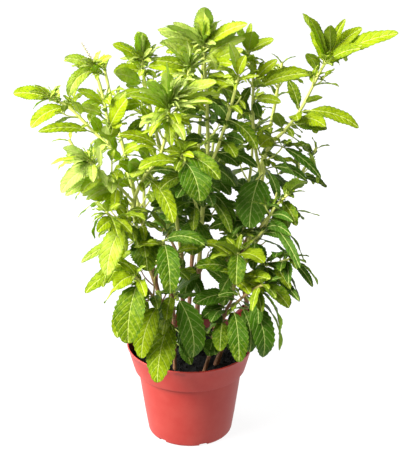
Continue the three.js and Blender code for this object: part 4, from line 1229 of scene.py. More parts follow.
class Room:
    """What stands in the plant's space, and whether a leaf lies clear of it."""

    TIED = "right"
    TIE_MIDDLE = 0.205
    TIE_REACH = 0.06
    TIE_RADIUS = 5.0
    FOOT_DRAW = 0.2
    OWN_STEM_SHARE = 0.3
    TWIG_FOOT = 5
    TWIG_MARGIN = 5
    MOST_LEAVES = 8000

    def __init__(self, shoots: dict[str, Shoot], pot: PotShape) -> None:
        """Takes the shoots' samples and the pot."""
        self.pot = pot
        self.view = Viewpoint()
        self.gaps = np.array(GAPS, float)
        self.low = np.array(CAD_BOX[0]) / MM
        self.high = np.array(CAD_BOX[1]) / MM
        self.nodes = {name: i for i, name in enumerate(dict.fromkeys(s.node for s in shoots.values()))}
        self.names: dict[str, int] = {}
        self.stem_points, self.stem_reach = np.empty((0, 3)), np.empty(0)
        self.stem_node, self.stem_name = np.empty(0, int), np.empty(0, int)
        self.taken: dict[int, tuple[np.ndarray, np.ndarray, int]] = {}
        self.boxes = np.zeros((self.MOST_LEAVES, 2, 3))
        for shoot in shoots.values():
            self.add_shoot(shoot)

    def add_shoot(self, shoot: Shoot) -> None:
        """Notes a shoot as standing in the room."""
        shares = shoot.shares
        reach = lerp(*shoot.radius, shares)
        if shoot.name == self.TIED:
            tied = np.abs(shares - self.TIE_MIDDLE) < self.TIE_REACH
            reach = np.where(tied, self.TIE_RADIUS, reach)
        self.names[shoot.name] = len(self.names)
        self.stem_points = np.vstack([self.stem_points, shoot.samples])
        self.stem_reach = np.append(self.stem_reach, reach)
        self.stem_node = np.append(self.stem_node, np.full(len(shares), self.nodes[shoot.node]))
        self.stem_name = np.append(self.stem_name, np.full(len(shares), self.names[shoot.name]))

    def in_gaps(self, points: np.ndarray) -> int:
        """How many points lie where the photograph shows no leaf."""
        apart = self.view.pixels(points)[:, None] - self.gaps[None, :, :2]
        inside = np.sum((apart / self.gaps[None, :, 2:]) ** 2, axis=2) < 1
        return int(np.count_nonzero(inside.any(axis=1)))

    def vacate(self, number: int) -> None:
        """Takes a leaf's place out of what is noted."""
        self.boxes[number] = [[np.inf] * 3, [-np.inf] * 3]

    def occupy(self, number: int, leaf: Leaf, points: np.ndarray, distance: np.ndarray) -> None:
        """Notes where a new leaf, or one that has turned, now lies."""
        self.boxes[number] = points.min(0), points.max(0)
        self.taken[number] = (points, distance, self.nodes[leaf.node])

    def leaves_near(self, points: np.ndarray, reach: float) -> np.ndarray:
        """The numbers of the leaves whose boxes come within reach of the points' box."""
        boxes = self.boxes[:len(self.taken)]
        near = (boxes[:, 0] < points.max(0) + reach) & (boxes[:, 1] > points.min(0) - reach)
        return np.flatnonzero(np.all(near, axis=1))

    def fits_twig(self, twig: Shoot, gap: float) -> bool:
        """Whether a side twig keeps off all that stands and inside the solids' box.

        Args:
            twig: The twig.
            gap: How far it has to keep.

        Returns:
            True if it does.
        """
        points = twig.samples[twig.lengths > self.TWIG_FOOT]
        inside = (points > self.low + self.TWIG_MARGIN) & (points < self.high - self.TWIG_MARGIN)
        if not np.all(inside) or not self.pot.keeps_clear(points, 2 * gap):
            return False
        if np.any(distances(points, self.stem_points) < self.stem_reach + twig.radius[0] + gap):
            return False
        reach = gap + twig.radius[0]
        return all(distances(points, self.taken[i][0]).min() >= reach
                   for i in self.leaves_near(points, reach))

    def keeps_clear(self, leaf: Leaf, points: np.ndarray, distance: np.ndarray,
                    rule: Clearance) -> bool:
        """Whether a leaf's points keep off every shoot and every leaf that is already there.

        Args:
            leaf: The leaf.
            points: Its points.
            distance: Their distances along the leaf.
            rule: How far it has to keep. Sister leaves may draw together near their feet.

        Returns:
            True if they do.
        """
        node, foot = self.nodes[leaf.node], distance[:, None]
        reach = self.stem_reach.max() + rule.other_stem
        near = np.all((self.stem_points > points.min(0) - reach)
                      & (self.stem_points < points.max(0) + reach), axis=1)
        sister = self.stem_node[near] == node
        own = self.stem_name[near] == self.names[leaf.shoot]
        keep = self.stem_reach[near] + np.where(sister, rule.own_stem, rule.other_stem)
        own_foot = own & (foot < leaf.stalk + self.OWN_STEM_SHARE * leaf.blade)
        exempt = (sister & (foot < rule.free_foot)) | own_foot
        if np.any((distances(points, self.stem_points[near]) < keep) & ~exempt):
            return False
        for i in self.leaves_near(points, rule.other_leaves):
            others, feet, owner = self.taken[i]
            keep = rule.other_leaves
            if owner == node:
                keep = np.minimum(rule.sister_leaves, self.FOOT_DRAW * np.minimum(foot, feet))
            if np.any(distances(points, others) < keep):
                return False
        return True

    def settle(self, leaf: Leaf, tries: tuple, rule: Clearance, boxed: bool = False,
               gapped: bool = False) -> Leaf | None:
        """Turns, lifts and shrinks a leaf until it lies clear.

        Args:
            leaf: The leaf as asked.
            tries: Turn and lift in degrees, and size, to try in order.
            rule: How far it has to keep from what is there.
            boxed: Whether it also has to stay in the solids' box.
            gapped: Whether it also has to leave the photograph's gaps open.

        Returns:
            The settled leaf, or None if it never lies clear.
        """
        for turn, lift, size in tries:
            tried = replace(leaf, turn=leaf.turn + turn * RAD, rise=leaf.rise + lift * RAD,
                            length=leaf.length * size, stalk=leaf.stalk * size, half=leaf.half * size)
            points, distance = tried.spread(rule.step)
            if boxed and not np.all((points > self.low) & (points < self.high)):
                continue
            if gapped and self.in_gaps(points):
                continue
            if self.pot.keeps_clear(points, rule.pot) and self.keeps_clear(tried, points, distance, rule):
                self.occupy(len(self.taken), tried, points, distance)
                return tried
        return None


@dataclass
class LeafShape:
    """The sizes that leaves take with their maturity, from 0 at a tip to 1 well down a shoot.

    Where a size has two numbers, they are those of young and of mature leaves. A spread is how far
    a leaf may differ from its neighbours.
    """

    mature_distance: float = 130
    blades: tuple = (15, 44)
    blade_growth: float = 0.75
    blade_spread: tuple = (0.84, 0.32)
    lengths: tuple = (1.12, 1.28)
    halves: tuple = (0.2, 0.25)
    openings: tuple = (34, 64)
    bends: tuple = (35, 80)
    bend_spread: float = 25
    longest_stalk: float = 14
    stalk_shares: tuple = (0.1, 0.14)
    least_bend: float = 8 * RAD
    folds: tuple = (16 * RAD, -10 * RAD)
    roll_spread: float = 30 * RAD
    wave_share: float = 0.09
    tip_margin: float = 2
    root_share: float = 0.4
    first_pair: float = 3.0
    pair_spacings: tuple = (35, 47)
    pair_spread: float = 40
    light: tuple = (-0.45, -0.7, 0.55)
    lean_share: float = 0.3
    most_lean: float = 25 * RAD

    def facing(self, turn: float, angle: float, target: tuple) -> float:
        """The roll about its midrib that turns a leaf's upper side to a target.

        Args:
            turn: The leaf's direction round the vertical.
            angle: The midrib's rise half way along.
            target: The direction of the target.

        Returns:
            The roll.
        """
        side = np.array([-math.sin(turn), math.cos(turn), 0.0])
        back = -math.sin(angle)
        normal = np.array([back * math.cos(turn), back * math.sin(turn), math.cos(angle)])
        return math.atan2(-float(side @ target), float(normal @ target))

    def lean(self, leaf: Leaf) -> float:
        """How far a leaf rolls about its midrib to face the light."""
        full = self.facing(leaf.turn, leaf.rise - leaf.bend / 2, self.light)
        return max(-self.most_lean, min(self.most_lean, self.lean_share * full))

    def make(self, draws: Draws, shoot: Shoot, asked_share: float, way: tuple[float, float],
             length: float, half: float, bend: float) -> Leaf:
        """Makes a leaf that grows from a shoot.

        Args:
            draws: The random numbers.
            shoot: The shoot.
            asked_share: Where on the shoot it grows.
            way: Its direction round the vertical, and how it starts above the horizontal.
            length: Its length with the stalk.
            half: Half its width.
            bend: How far it bends over.

        Returns:
            The leaf.
        """
        turn, rise = way
        share = min(asked_share, 1 - self.tip_margin / shoot.length)
        maturity = min(1.0, (1 - share) * shoot.length / self.mature_distance)
        flat = math.cos(rise)
        start = np.array([flat * math.cos(turn), flat * math.sin(turn), math.sin(rise)])
        root = shoot.at(share)[0] + start * (self.root_share * lerp(*shoot.radius, share))
        roll = (draws.next() - 0.5) * self.roll_spread
        phase = 6 * draws.next()
        return Leaf(
            node=shoot.node, shoot=shoot.name, root=root, turn=turn, rise=rise, length=length,
            stalk=min(self.longest_stalk, (self.stalk_shares[0] + self.stalk_shares[1] * maturity) * length),
            half=half, bend=max(bend, self.least_bend), fold=lerp(*self.folds, maturity),
            roll=roll, wave=self.wave_share * half, phase=phase, maturity=maturity)

    def placed(self, draws: Draws, shoot: Shoot, row: tuple) -> Leaf:
        """A leaf from its place on the shoot to a given tip.

        Args:
            draws: The random numbers.
            shoot: The shoot.
            row: A row as in PLACED.

        Returns:
            The leaf.
        """
        share, x, y, z, half, bend_degrees = row
        chord = np.array([x, y, z]) - shoot.at(share)[0]
        bend = bend_degrees * RAD
        rise = math.atan2(chord[2], math.hypot(chord[0], chord[1])) + bend / 2
        length = float(np.linalg.norm(chord)) * bend / 2 / math.sin(bend / 2)
        return self.make(draws, shoot, share, (math.atan2(chord[1], chord[0]), rise), length, half, bend)

    def pairs(self, draws: Draws, shoot: Shoot) -> list[Leaf]:
        """Opposite pairs down a shoot, each pair turned a quarter from the one above.

        Args:
            draws: The random numbers.
            shoot: The shoot.

        Returns:
            The leaves.
        """
        leaves = []
        quarter, down = 0, self.first_pair
        while down < shoot.leafy:
            maturity = min(1.0, down / self.mature_distance)
            share = shoot.share_at(shoot.length - down)
            angle = (90 * quarter + self.pair_spread * (draws.next() - 0.5)) * RAD
            along, across = shoot.directions(share, angle)
            opening = lerp(*self.openings, maturity) * RAD
            for facing in (1, -1):
                start = along * math.cos(opening) + across * (facing * math.sin(opening))
                blade = lerp(*self.blades, maturity ** self.blade_growth)
                blade *= self.blade_spread[0] + self.blade_spread[1] * draws.next()
                bend = (lerp(*self.bends, maturity) + self.bend_spread * draws.next()) * RAD
                way = (math.atan2(start[1], start[0]), math.asin(start[2]))
                leaves.append(self.make(draws, shoot, share, way, blade * lerp(*self.lengths, maturity),
                                        blade * lerp(*self.halves, maturity), bend))
            down += lerp(*self.pair_spacings, maturity)
            quarter += 1
        return leaves


class LeafMesh(Enum):
    """How finely a leaf's mesh is made, from the largest blades to the smallest.

    Each choice is the blade above which it is taken, teeth to a side, points across besides those
    at the midrib, and rows of stalk.
    """

    LARGE = (31, 10, (-1, -0.7, -0.36, 0.36, 0.7, 1), 4)
    MIDDLE = (19, 8, (-1, -0.5, 0.5, 1), 3)
    SMALL = (10, 6, (-1, 1), 2)
    TINY = (0, 3, (-1, 1), 2)

    @classmethod
    def of(cls, leaf: Leaf) -> "LeafMesh":
        """The choice for a leaf of this size."""
        return next(choice for choice in cls if leaf.blade > choice.value[0])


@dataclass
class LeafBuilder:
    """Makes a leaf's fine mesh: toothed margin, sunken veins, a keeled midrib, a round stalk."""

    veins: float = 7.5
    veined: float = 0.93
    vein_slope: float = 1.0
    vein_arch: float = 0.07
    least_stoutness: float = 0.45
    stoutness_blade: float = 55
    midrib_taper: float = 0.35
    first_tooth: float = 0.1
    toothed: float = 0.86
    tooth: float = 0.07
    edge_thickness: float = 0.26
    rib_depth: float = 0.55
    rib_half: float = 0.55
    stalk_half: float = 0.62
    pucker: float = 0.42
    sunk: float = 0.2
    shady_height: float = 180
    sunny_over: float = 200
    shady_side: float = 40
    sunny_across: float = 150

    def build(self, leaf: Leaf, patches: Patchwork) -> None:
        """Makes a leaf.

        Args:
            leaf: The leaf.
            patches: The patches that it joins.
        """
        _, teeth, columns, stalk_rows = LeafMesh.of(leaf).value
        shares, reach = self._rows(teeth)
        stalk = leaf.stalk * np.arange(stalk_rows) / stalk_rows
        distance = np.concatenate([stalk, leaf.stalk + leaf.blade * shares])
        share = (distance - leaf.stalk) / leaf.blade
        thin = min(1.0, self.least_stoutness + leaf.blade / self.stoutness_blade)
        width = np.maximum(leaf.outline(share) * np.concatenate([np.ones(stalk_rows), reach]),
                           self.stalk_half * thin * (1 - self.midrib_taper * np.clip(share, 0, 1)))
        across = self._across(columns, width)
        rows, count = across.shape
        across = across.ravel()
        width, share = np.repeat(width, count), np.repeat(share, count)
        middle, normal = leaf.surface(np.repeat(distance, count), across, width)
        offset = np.abs(across) * width
        arch = self.vein_arch * across ** 2
        vein = self.veins * (share * self.veined - offset * self.vein_slope / leaf.blade - arch)
        upper, lower = self._faces(leaf, share, offset, across, vein, thin)
        tip, _ = leaf.surface(np.array([leaf.length]), np.array([0.0]), np.array([0.0]))
        points = np.vstack([middle + upper[:, None] * normal, middle + lower[:, None] * normal, tip])
        rib = np.where(share > 0, offset / (0.35 + 0.65 * thin), 0)
        values = {
            "youth": self._youth_and_painted_light(leaf),
            "tone": leaf.tone,
            "rib": np.concatenate([rib, rib, [0.4]]),
            "vein": np.concatenate([vein, vein, [0.5]]),
            "under": np.concatenate([np.zeros(rows * count), np.clip(share * 25, 0, 1), [0.5]]),
            "edge": np.concatenate([np.abs(across), np.abs(across), [1.0]]),
        }
        patches.add(points, sheet_plan(rows, count), 0, values)

    def _youth_and_painted_light(self, leaf: Leaf) -> float:
        """How young a leaf looks: more so near a tip, high up (partly painted light) and on the sunny side
        (painted light).
        """
        height = np.clip((leaf.root[2] - self.shady_height) / self.sunny_over, 0, 1)
        sunny = np.clip((self.shady_side - leaf.root[0]) / self.sunny_across, 0, 1)
        # The height term is partly painted light and the sunny term is painted light; flush adds the painted
        # light and shade of the leaf's place.
        return 0.3 * (1 - leaf.maturity) + 0.42 * height + 0.3 * sunny * height + leaf.flush

    def _rows(self, teeth: int) -> tuple[np.ndarray, np.ndarray]:
        """The blade's rows: a notch and a tooth in turn, from the blade's foot to near its tip.

        Args:
            teeth: Teeth to a side.

        Returns:
            Shares of the blade's length, and how far out the margin stands there.
        """
        shares, reach = [0.0, 0.05], [1.0, 1.0]
        step = self.toothed / teeth
        for k in range(teeth):
            start = self.first_tooth + self.toothed * k / teeth
            shares += [start + 0.02, start + 0.74 * step]
            reach += [1 - self.tooth * 0.7, 1 + self.tooth]
        return np.array([*shares, 0.98]), np.array([*reach, 0.95])

    def _across(self, columns: tuple, width: np.ndarray) -> np.ndarray:
        """Places across each row: the columns, and three close together at the midrib."""
        half = len(columns) // 2
        ribs = np.minimum(0.16, self.rib_half / width)
        return np.array([[*columns[:half], -rib, 0.0, rib, *columns[half:]] for rib in ribs])

    def _faces(self, leaf: Leaf, share: np.ndarray, offset: np.ndarray, across: np.ndarray,
               vein: np.ndarray, thin: float) -> tuple[np.ndarray, np.ndarray]:
        """How far the upper and lower face lie from the middle surface.

        Args:
            leaf: The leaf.
            share: Shares of the blade's length.
            offset: Distances from the midrib.
            across: From -1 to 1 over the local half width.
            vein: The count of side veins passed.
            thin: How stout the leaf is for its size.

        Returns:
            The offsets of the upper and the lower face.
        """
        blade = np.clip(share / 0.08, 0, 1)
        keel = np.exp(-(offset / (self.rib_half * 1.1)) ** 2) * (1 - 0.75 * np.clip(share, 0, 1))
        size = min(1.0, leaf.blade / 40)
        inner = np.clip(1.15 - np.abs(across), 0, 1)
        quilt = self.pucker * size * (np.abs(np.sin(np.pi * vein)) - 0.6) * inner * blade
        sunk = self.sunk * size * np.exp(-(offset / 0.9) ** 2) * blade
        plate_up = self.edge_thickness / 2 * thin + quilt - sunk
        plate_down = -self.edge_thickness / 2 * thin + quilt - self.rib_depth * thin * keel * blade
        round_half = self.stalk_half * thin * np.sqrt(np.maximum(0.02, 1 - across ** 2))
        return lerp(round_half, plate_up, blade), lerp(-round_half, plate_down, blade)


@dataclass
class FineGrowth:
    """The finer leaves: crowns at the tips, pairs between the large ones, and leafy side twigs.

    Each crown row and twig row is a distance below the tip, a blade length, and the opening and
    the bend in degrees.
    """

    plant: "Plant"
    crown: tuple = ((0.8, 14, 16, 35), (2.5, 22, 28, 45), (7, 30, 44, 60), (15, 35, 56, 72))
    twig_crown: tuple = ((0.8, 11, 20, 40), (4.5, 18, 44, 60), (14, 24, 58, 75))
    crown_turn: float = 35
    openings: tuple = (42, 70)
    bends: tuple = (45, 85)
    middle_spacing: float = 32
    middle_blades: tuple = (24, 38)
    small_spacing: float = 19
    small_blades: tuple = (9, 15)
    back_spacing: float = 1.5
    first_pair: float = 12.0
    further_down: float = 60
    lowest: float = 112
    twig_spacing: float = 90
    twig_first: float = 34
    twig_foot: float = 16
    twig_lengths: tuple = (15, 32)
    twig_slant: tuple = (0.62, 0.78)
    twig_turn: float = 15
    twig_radius: tuple = (0.95, 0.6)
    twig_lifts: tuple = (0.0, 0.25, 0.45)
    twig_tries: tuple = ((0, 1), (30, 1), (-30, 1), (60, 0.8), (-60, 0.8), (0, 0.6))
    twig_gap: float = 1.3
    tuft_top: float = 0.8
    tuft_depth: float = 15
    tuft_openings: tuple = (14, 82)
    tuft_bends: tuple = (35, 95)
    tuft_flush: float = 0.3
    golden_turn: float = 137.5
    tuft_slim: float = 0.165
    crown_slim: float = 0.185
    middle_slim: float = 0.205
    small_slim: float = 0.21
    stalk_length: float = 1.16

    def leaf(self, shoot: Shoot, share: float, start: np.ndarray, blade: float, bend: float,
             slim: float, rule: Clearance = SMALL_CLEARANCE, flush: float = 0.0) -> None:
        """Grows one leaf if there is room for it.

        Args:
            shoot: The shoot that it grows from.
            share: Where on the shoot.
            start: Its first direction.
            blade: The blade's length.
            bend: How far it bends over, in degrees.
            slim: Half its width as a share of the blade.
            rule: How far it has to keep from what is there.
            flush: How much younger it looks.
        """
        plant = self.plant
        way = (math.atan2(start[1], start[0]), math.asin(max(-1.0, min(1.0, float(start[2])))))
        leaf = plant.shape.make(plant.draws, shoot, share, way, blade * self.stalk_length,
                                blade * slim, bend * RAD)
        leaf.wave *= lerp(3.2, 1.4, min(1.0, blade / 32))
        leaf.roll = 1.7 * leaf.roll + plant.shape.lean(leaf)
        leaf.tone, leaf.flush = plant.draws.between(-1, 1), flush
        plant.keep(plant.room.settle(leaf, SMALL_TRIES, rule, boxed=True, gapped=True))

    def pair(self, shoot: Shoot, down: float, angle: float, opening: float, blade: float,
             bend: float, slim: float) -> None:
        """Grows an opposite pair.

        Args:
            shoot: The shoot.
            down: The distance below its tip.
            angle: The pair's turn round the shoot, in degrees.
            opening: The angle between leaf and shoot, in degrees.
            blade: The blades' length.
            bend: How far they bend over, in degrees.
            slim: Half their width as a share of the blade.
        """
        draws = self.plant.draws
        share = shoot.share_at(shoot.length - down)
        along, across = shoot.directions(share, angle * RAD)
        for facing in (1, -1):
            start = along * math.cos(opening * RAD) + across * (facing * math.sin(opening * RAD))
            length = blade * draws.between(0.8, 1.2)
            self.leaf(shoot, share, start, length, bend * draws.between(0.7, 1.3), slim)

    def crowns(self, shoots: list[Shoot], rows: tuple) -> None:
        """Grows a crown at the tip of each shoot.

        Args:
            shoots: The shoots.
            rows: The crown's rows.
        """
        for i, (down, blade, opening, bend) in enumerate(rows):
            for shoot in shoots:
                if down < shoot.length - 4:
                    angle = 90 * i + self.crown_turn + self.plant.draws.between(-15, 15)
                    self.pair(shoot, down, angle, opening, blade, bend, self.crown_slim)

    def tufts(self) -> None:
        """Grows a tuft of curly young leaves round the tips that have one, spiralling down."""
        draws = self.plant.draws
        for name, count, longest in TUFTS:
            shoot = self.plant.shoots[name]
            for k in range(count):
                low = k / count
                share = shoot.share_at(shoot.length - self.tuft_top - self.tuft_depth * low)
                along, across = shoot.directions(share, self.golden_turn * k * RAD)
                opening = lerp(*self.tuft_openings, low) * RAD
                start = along * math.cos(opening) + across * math.sin(opening)
                blade = longest * lerp(0.5, 1, low) * draws.between(0.7, 1.1)
                self.leaf(shoot, share, start, blade, draws.between(*self.tuft_bends), self.tuft_slim,
                          TUFT_CLEARANCE, self.tuft_flush)

    def run(self, spacing: float, blades: tuple, slim: float) -> None:
        """Grows pairs all the way down each main shoot.

        Args:
            spacing: About how far apart the pairs are.
            blades: The blades' length near the tip and far down.
            slim: Half their width as a share of the blade.
        """
        draws = self.plant.draws
        for shoot in self.plant.main_shoots:
            apart = spacing * (self.back_spacing if "back" in shoot.name else 1)
            down, quarter = self.first_pair, 0
            while down < shoot.leafy + self.further_down and down < shoot.length - self.first_pair:
                foot = shoot.at(shoot.share_at(shoot.length - down))[0]
                maturity = min(1.0, down / self.plant.shape.mature_distance)
                angle = 90 * quarter + draws.between(20, 70)
                if foot[2] > self.lowest:
                    self.pair(shoot, down, angle, lerp(*self.openings, maturity),
                              lerp(*blades, maturity), lerp(*self.bends, maturity), slim)
                down += apart * draws.between(0.8, 1.2)
                quarter += 1

    def twig(self, shoot: Shoot, share: float, angle: float, length: float) -> Shoot:
        """A side twig that leaves a shoot and curves up.

        Args:
            shoot: The shoot.
            share: Where on the shoot.
            angle: The twig's turn round the shoot, in degrees.
            length: Its length.

        Returns:
            The twig.
        """
        along, across = shoot.directions(share, angle * RAD)
        way = along * self.twig_slant[0] + across * self.twig_slant[1]
        points = [shoot.at(share)[0]]
        for lift in self.twig_lifts:
            way = way + np.array([0, 0, lift])
            way = way / np.linalg.norm(way)
            points.append(points[-1] + way * length / len(self.twig_lifts))
        name = f"twig_{len(self.plant.shoots)}"
        return Shoot(name, shoot.node, self.twig_radius, length, np.array(points), twig=True)

    def twigs(self) -> list[Shoot]:
        """Grows side twigs down each main shoot where there is room, and lists them."""
        grown = []
        room, shoots, draws = self.plant.room, self.plant.shoots, self.plant.draws
        for shoot in self.plant.main_shoots:
            down, quarter = self.twig_first * draws.between(0.8, 1.2), 0
            while down < shoot.length - self.twig_foot:
                share = shoot.share_at(shoot.length - down)
                long = lerp(*self.twig_lengths, min(1.0, down / 120)) * draws.between(0.75, 1.15)
                high = shoot.at(share)[0][2] > self.lowest
                for facing in (0, 180):
                    angle = 90 * quarter + self.twig_turn + facing + draws.between(-20, 20)
                    for turn, size in self.twig_tries:
                        twig = self.twig(shoot, share, angle + turn, long * size)
                        if high and room.fits_twig(twig, self.twig_gap):
                            shoots[twig.name] = twig
                            room.add_shoot(twig)
                            grown.append(twig)
                            break
                down += self.twig_spacing * draws.between(0.8, 1.25)
                quarter += 1
        return grown

    def grow(self) -> None:
        """Grows all the finer leaves, the larger ones first."""
        self.tufts()
        self.crowns(self.plant.main_shoots, self.crown)
        self.run(self.middle_spacing, self.middle_blades, self.middle_slim)
        twigs = self.twigs()
        LOG.info("%d leaves before those on %d twigs", len(self.plant.leaves), len(twigs))
        self.crowns(twigs, self.twig_crown)
        self.run(self.small_spacing, self.small_blades, self.small_slim)


class Plant:
    """The leafy stems: their shoots, the leaves of the solids, and the finer growth."""

    SEED = 20417
    TONE_SEED = 7
    STEM_SIDES = 10
    TWIG_SIDES = 6
    STEM_RINGS = 7
    TWIG_RINGS = 3
    SQUARENESS = 0.07
    SWELLING = 0.1
    SWELLING_LENGTH = 2.9
    BROWN_BELOW = 150
    GREEN_OVER = 150
    CAMERA_WAY = (0.0, -0.92, 0.4)
    FACING_ROLL = 46 * RAD
    FACING_SHARE = 0.7
    EDGEWAYS = -1.0
    EDGE_SHIFT = 6.5
    SEEN_ROLLS = (0.5, 0.75, 0.4)
    FAN_SPREAD = 7
    FAN_DEPTH = (0.5, 9)
    FAN_BENDS = (15, 70)
    FAN_ROLL = 45
    FAN_FACING = 0.5
    FAN_WAVE = 2.4
    GOLDEN_SHARE = 0.618

    def __init__(self, pot: PotShape) -> None:
        """Grows the shoots and the leaves, which keep off the pot."""
        self.draws = Draws(self.SEED)
        self.shape = LeafShape()
        self.shoots = self._grow_shoots()
        self.main_shoots = list(self.shoots.values())
        self.room = Room(self.shoots, pot)
        self.leaves: list[Leaf] = []
        self._grow_large()
        LOG.info("%d large leaves", len(self.leaves))
        self._grow_seen()
        self._grow_fans()
        FineGrowth(self).grow()
        self._paint_light_and_shade()
        LOG.info("%d leaves in all", len(self.leaves))

    def keep(self, leaf: Leaf | None) -> None:
        """Keeps a settled leaf."""
        if leaf is not None:
            self.leaves.append(leaf)

    def _grow_shoots(self) -> dict[str, Shoot]:
        """The shoots, each side shoot starting on its parent."""
        shoots: dict[str, Shoot] = {}
        for name, plan in SHOOTS.items():
            node, route = f"stem_{name}", np.array(plan.points, float)
            if plan.parent:
                parent = shoots[plan.parent]
                node, route = parent.node, np.vstack([parent.at(plan.at), route])
            shoots[name] = Shoot(name, node, plan.radius, plan.leafy, route)
        return shoots

    def _grow_large(self) -> None:
        """The leaves that the solids have: those listed in PLACED first, then the pairs."""
        placed: dict[int, float] = {}
        for name, rows in PLACED.items():
            for i, row in enumerate(rows):
                leaf = self.shape.placed(self.draws, self.shoots[name], row)
                leaf = self.room.settle(leaf, TRIES, LARGE_CLEARANCE)
                if leaf is not None:
                    edge_on = i in EDGE_ON.get(name, ())
                    placed[len(self.leaves)] = self.EDGEWAYS if edge_on else self.FACING_SHARE
                self.keep(leaf)
        for shoot in self.shoots.values():
            for leaf in self.shape.pairs(self.draws, shoot):
                self.keep(self.room.settle(leaf, TRIES, LARGE_CLEARANCE))
        tones = Draws(self.TONE_SEED)
        for leaf in self.leaves:
            leaf.tone = tones.between(-1, 1)
        for number in range(len(self.leaves)):
            self._roll(number, placed.get(number, 0.0))

    def _full_turn(self, leaf: Leaf) -> float:
        """The roll that turns a leaf's upper side to the camera."""
        return self.shape.facing(leaf.turn, leaf.rise - leaf.bend / 2, self.CAMERA_WAY)

    def _roll(self, number: int, facing: float) -> None:
        """Rolls a leaf about its midrib, as far as it keeps clear.

        Args:
            number: The leaf's number.
            facing: How far towards the camera, or EDGEWAYS for its edge towards it. 0 lets it roll
                either way, to leave the photograph's gaps open.
        """
        leaf = self.leaves[number]
        most = min(self.FACING_ROLL, self.EDGE_SHIFT / leaf.half)
        away = (self._full_turn(leaf) - leaf.roll + math.pi / 2) % math.pi - math.pi / 2
        if facing == self.EDGEWAYS:
            wanted = -math.copysign(min(most, math.pi / 2 - abs(away)), away)
        else:
            wanted = max(-most, min(most, facing * away))
        rolls = (wanted, 0.7 * wanted, 0.4 * wanted, 0.0)
        if not facing:
            rolls = (0.0, -0.5 * most, 0.5 * most, -most, most)
        choices = []
        for i, roll in enumerate(rolls):
            tried = replace(leaf, roll=leaf.roll + roll)
            points, distance = tried.spread(TURNED_CLEARANCE.step)
            covered = 0 if facing else self.room.in_gaps(points) * abs(math.cos(away - roll))
            choices.append((covered, i, tried, points, distance))
        self.room.vacate(number)
        for _, i, tried, points, distance in sorted(choices, key=lambda choice: choice[:2]):
            if rolls[i] == 0 or self.room.keeps_clear(tried, points, distance, TURNED_CLEARANCE):
                leaf.roll = tried.roll
                self.room.occupy(number, leaf, points, distance)
                return

    def _grow_seen(self) -> None:
        """The further leaves that the photograph shows."""
        for name, share, x, y, back, half, bend, roll, flush in SEEN:
            shoot = self.shoots[name]
            tip = self.room.view.at((x, y), shoot.at(share)[0][1] + back)
            leaf = self.shape.placed(self.draws, shoot, (share, *tip, half, bend))
            own, facing, asked = self.SEEN_ROLLS
            leaf.roll = own * leaf.roll + facing * self._full_turn(leaf) + asked * roll * RAD
            # Above 0 the row's flush is youth and partly painted light; below 0 it is painted shade.
            leaf.flush, leaf.tone = flush, self.draws.between(-0.5, 0.5)
            self.keep(self.room.settle(leaf, SEEN_TRIES, TUFT_CLEARANCE, boxed=True))

    def _grow_fans(self) -> None:
        """The fans of young leaves at the tips."""
        view, draws = self.room.view, self.draws
        for name, count, first, last, near, far, half, front, back, flush in FANS:
            shoot = self.shoots[name]
            tip = view.pixels(shoot.samples[-1:])[0]
            for k in range(count):
                middle = lerp(first, last, (k + 0.5) / count)
                way = (middle + draws.between(-self.FAN_SPREAD, self.FAN_SPREAD)) * RAD
                reach = lerp(near, far, (self.GOLDEN_SHARE * k) % 1)
                pixel = (tip[0] + reach * math.cos(way), tip[1] - reach * math.sin(way))
                share = 1 - draws.between(*self.FAN_DEPTH) / shoot.length
                end = view.at(pixel, shoot.samples[-1][1] + draws.between(front, back))
                row = (share, *end, half * draws.between(0.75, 1.1), draws.between(*self.FAN_BENDS))
                leaf = self.shape.placed(draws, shoot, row)
                leaf.wave *= self.FAN_WAVE
                turn = draws.between(-self.FAN_ROLL, self.FAN_ROLL) * RAD
                leaf.roll += self.FAN_FACING * self._full_turn(leaf) + turn
                leaf.flush, leaf.tone = flush, draws.between(-1, 1)
                self.keep(self.room.settle(leaf, SEEN_TRIES, TUFT_CLEARANCE, boxed=True, gapped=True))

    def _paint_light_and_shade(self) -> None:
        """Paints light and shade on the leaves: lightens or darkens each by the part of the bush that it is
        in.
        """
        for leaf in self.leaves:
            middle, _, _ = leaf.frames(np.array([leaf.stalk + leaf.blade / 2]))
            pixel = self.room.view.pixels(middle)[0]
            for x, y, wide, high, shift in PAINTED_LIGHT_AND_SHADE:
                inside = 1 - ((pixel[0] - x) / wide) ** 2 - ((pixel[1] - y) / high) ** 2
                leaf.flush += shift * max(0.0, min(1.0, 2 * inside))

    def _add_stem(self, shoot: Shoot, patches: Patchwork) -> None:
        """Adds a shoot's tube: rounded square, with gentle swellings.

        Args:
            shoot: The shoot.
            patches: The patches that it joins.
        """
        sides = self.TWIG_SIDES if shoot.twig else self.STEM_SIDES
        rings = self.TWIG_RINGS if shoot.twig else self.STEM_RINGS
        count = rings * (len(shoot.route) - 1) + 1
        shares = np.arange(count) / (count - 1)
        swelling = self.SWELLING * np.cos(shares * shoot.length / self.SWELLING_LENGTH)
        radii = lerp(*shoot.radius, shares) * (1 + swelling)
        points = tube_points(shoot.at(shares), shoot.way(shares), radii, sides, self.SQUARENESS)
        height = np.repeat(shoot.at(shares)[:, 2], sides)
        youth = np.clip((height - self.BROWN_BELOW) / self.GREEN_OVER, 0, 1)
        patches.add(points, tube_plan(count, sides), 1, {"youth": youth})

    def build(self) -> None:
        """Makes one piece for each leafy stem."""
        materials = [LeafFinish().material(), StemFinish().material(), FlowerFinish().material()]
        builder = LeafBuilder()
        for node in self.room.nodes:
            patches = Patchwork()
            for shoot in self.shoots.values():
                if shoot.node == node:
                    self._add_stem(shoot, patches)
            for leaf in self.leaves:
                if leaf.node == node:
                    builder.build(leaf, patches)
            FlowerSpikes().build(node, patches)
            dress(patches.make(f"leafy_{node}", materials), "foliage", node)


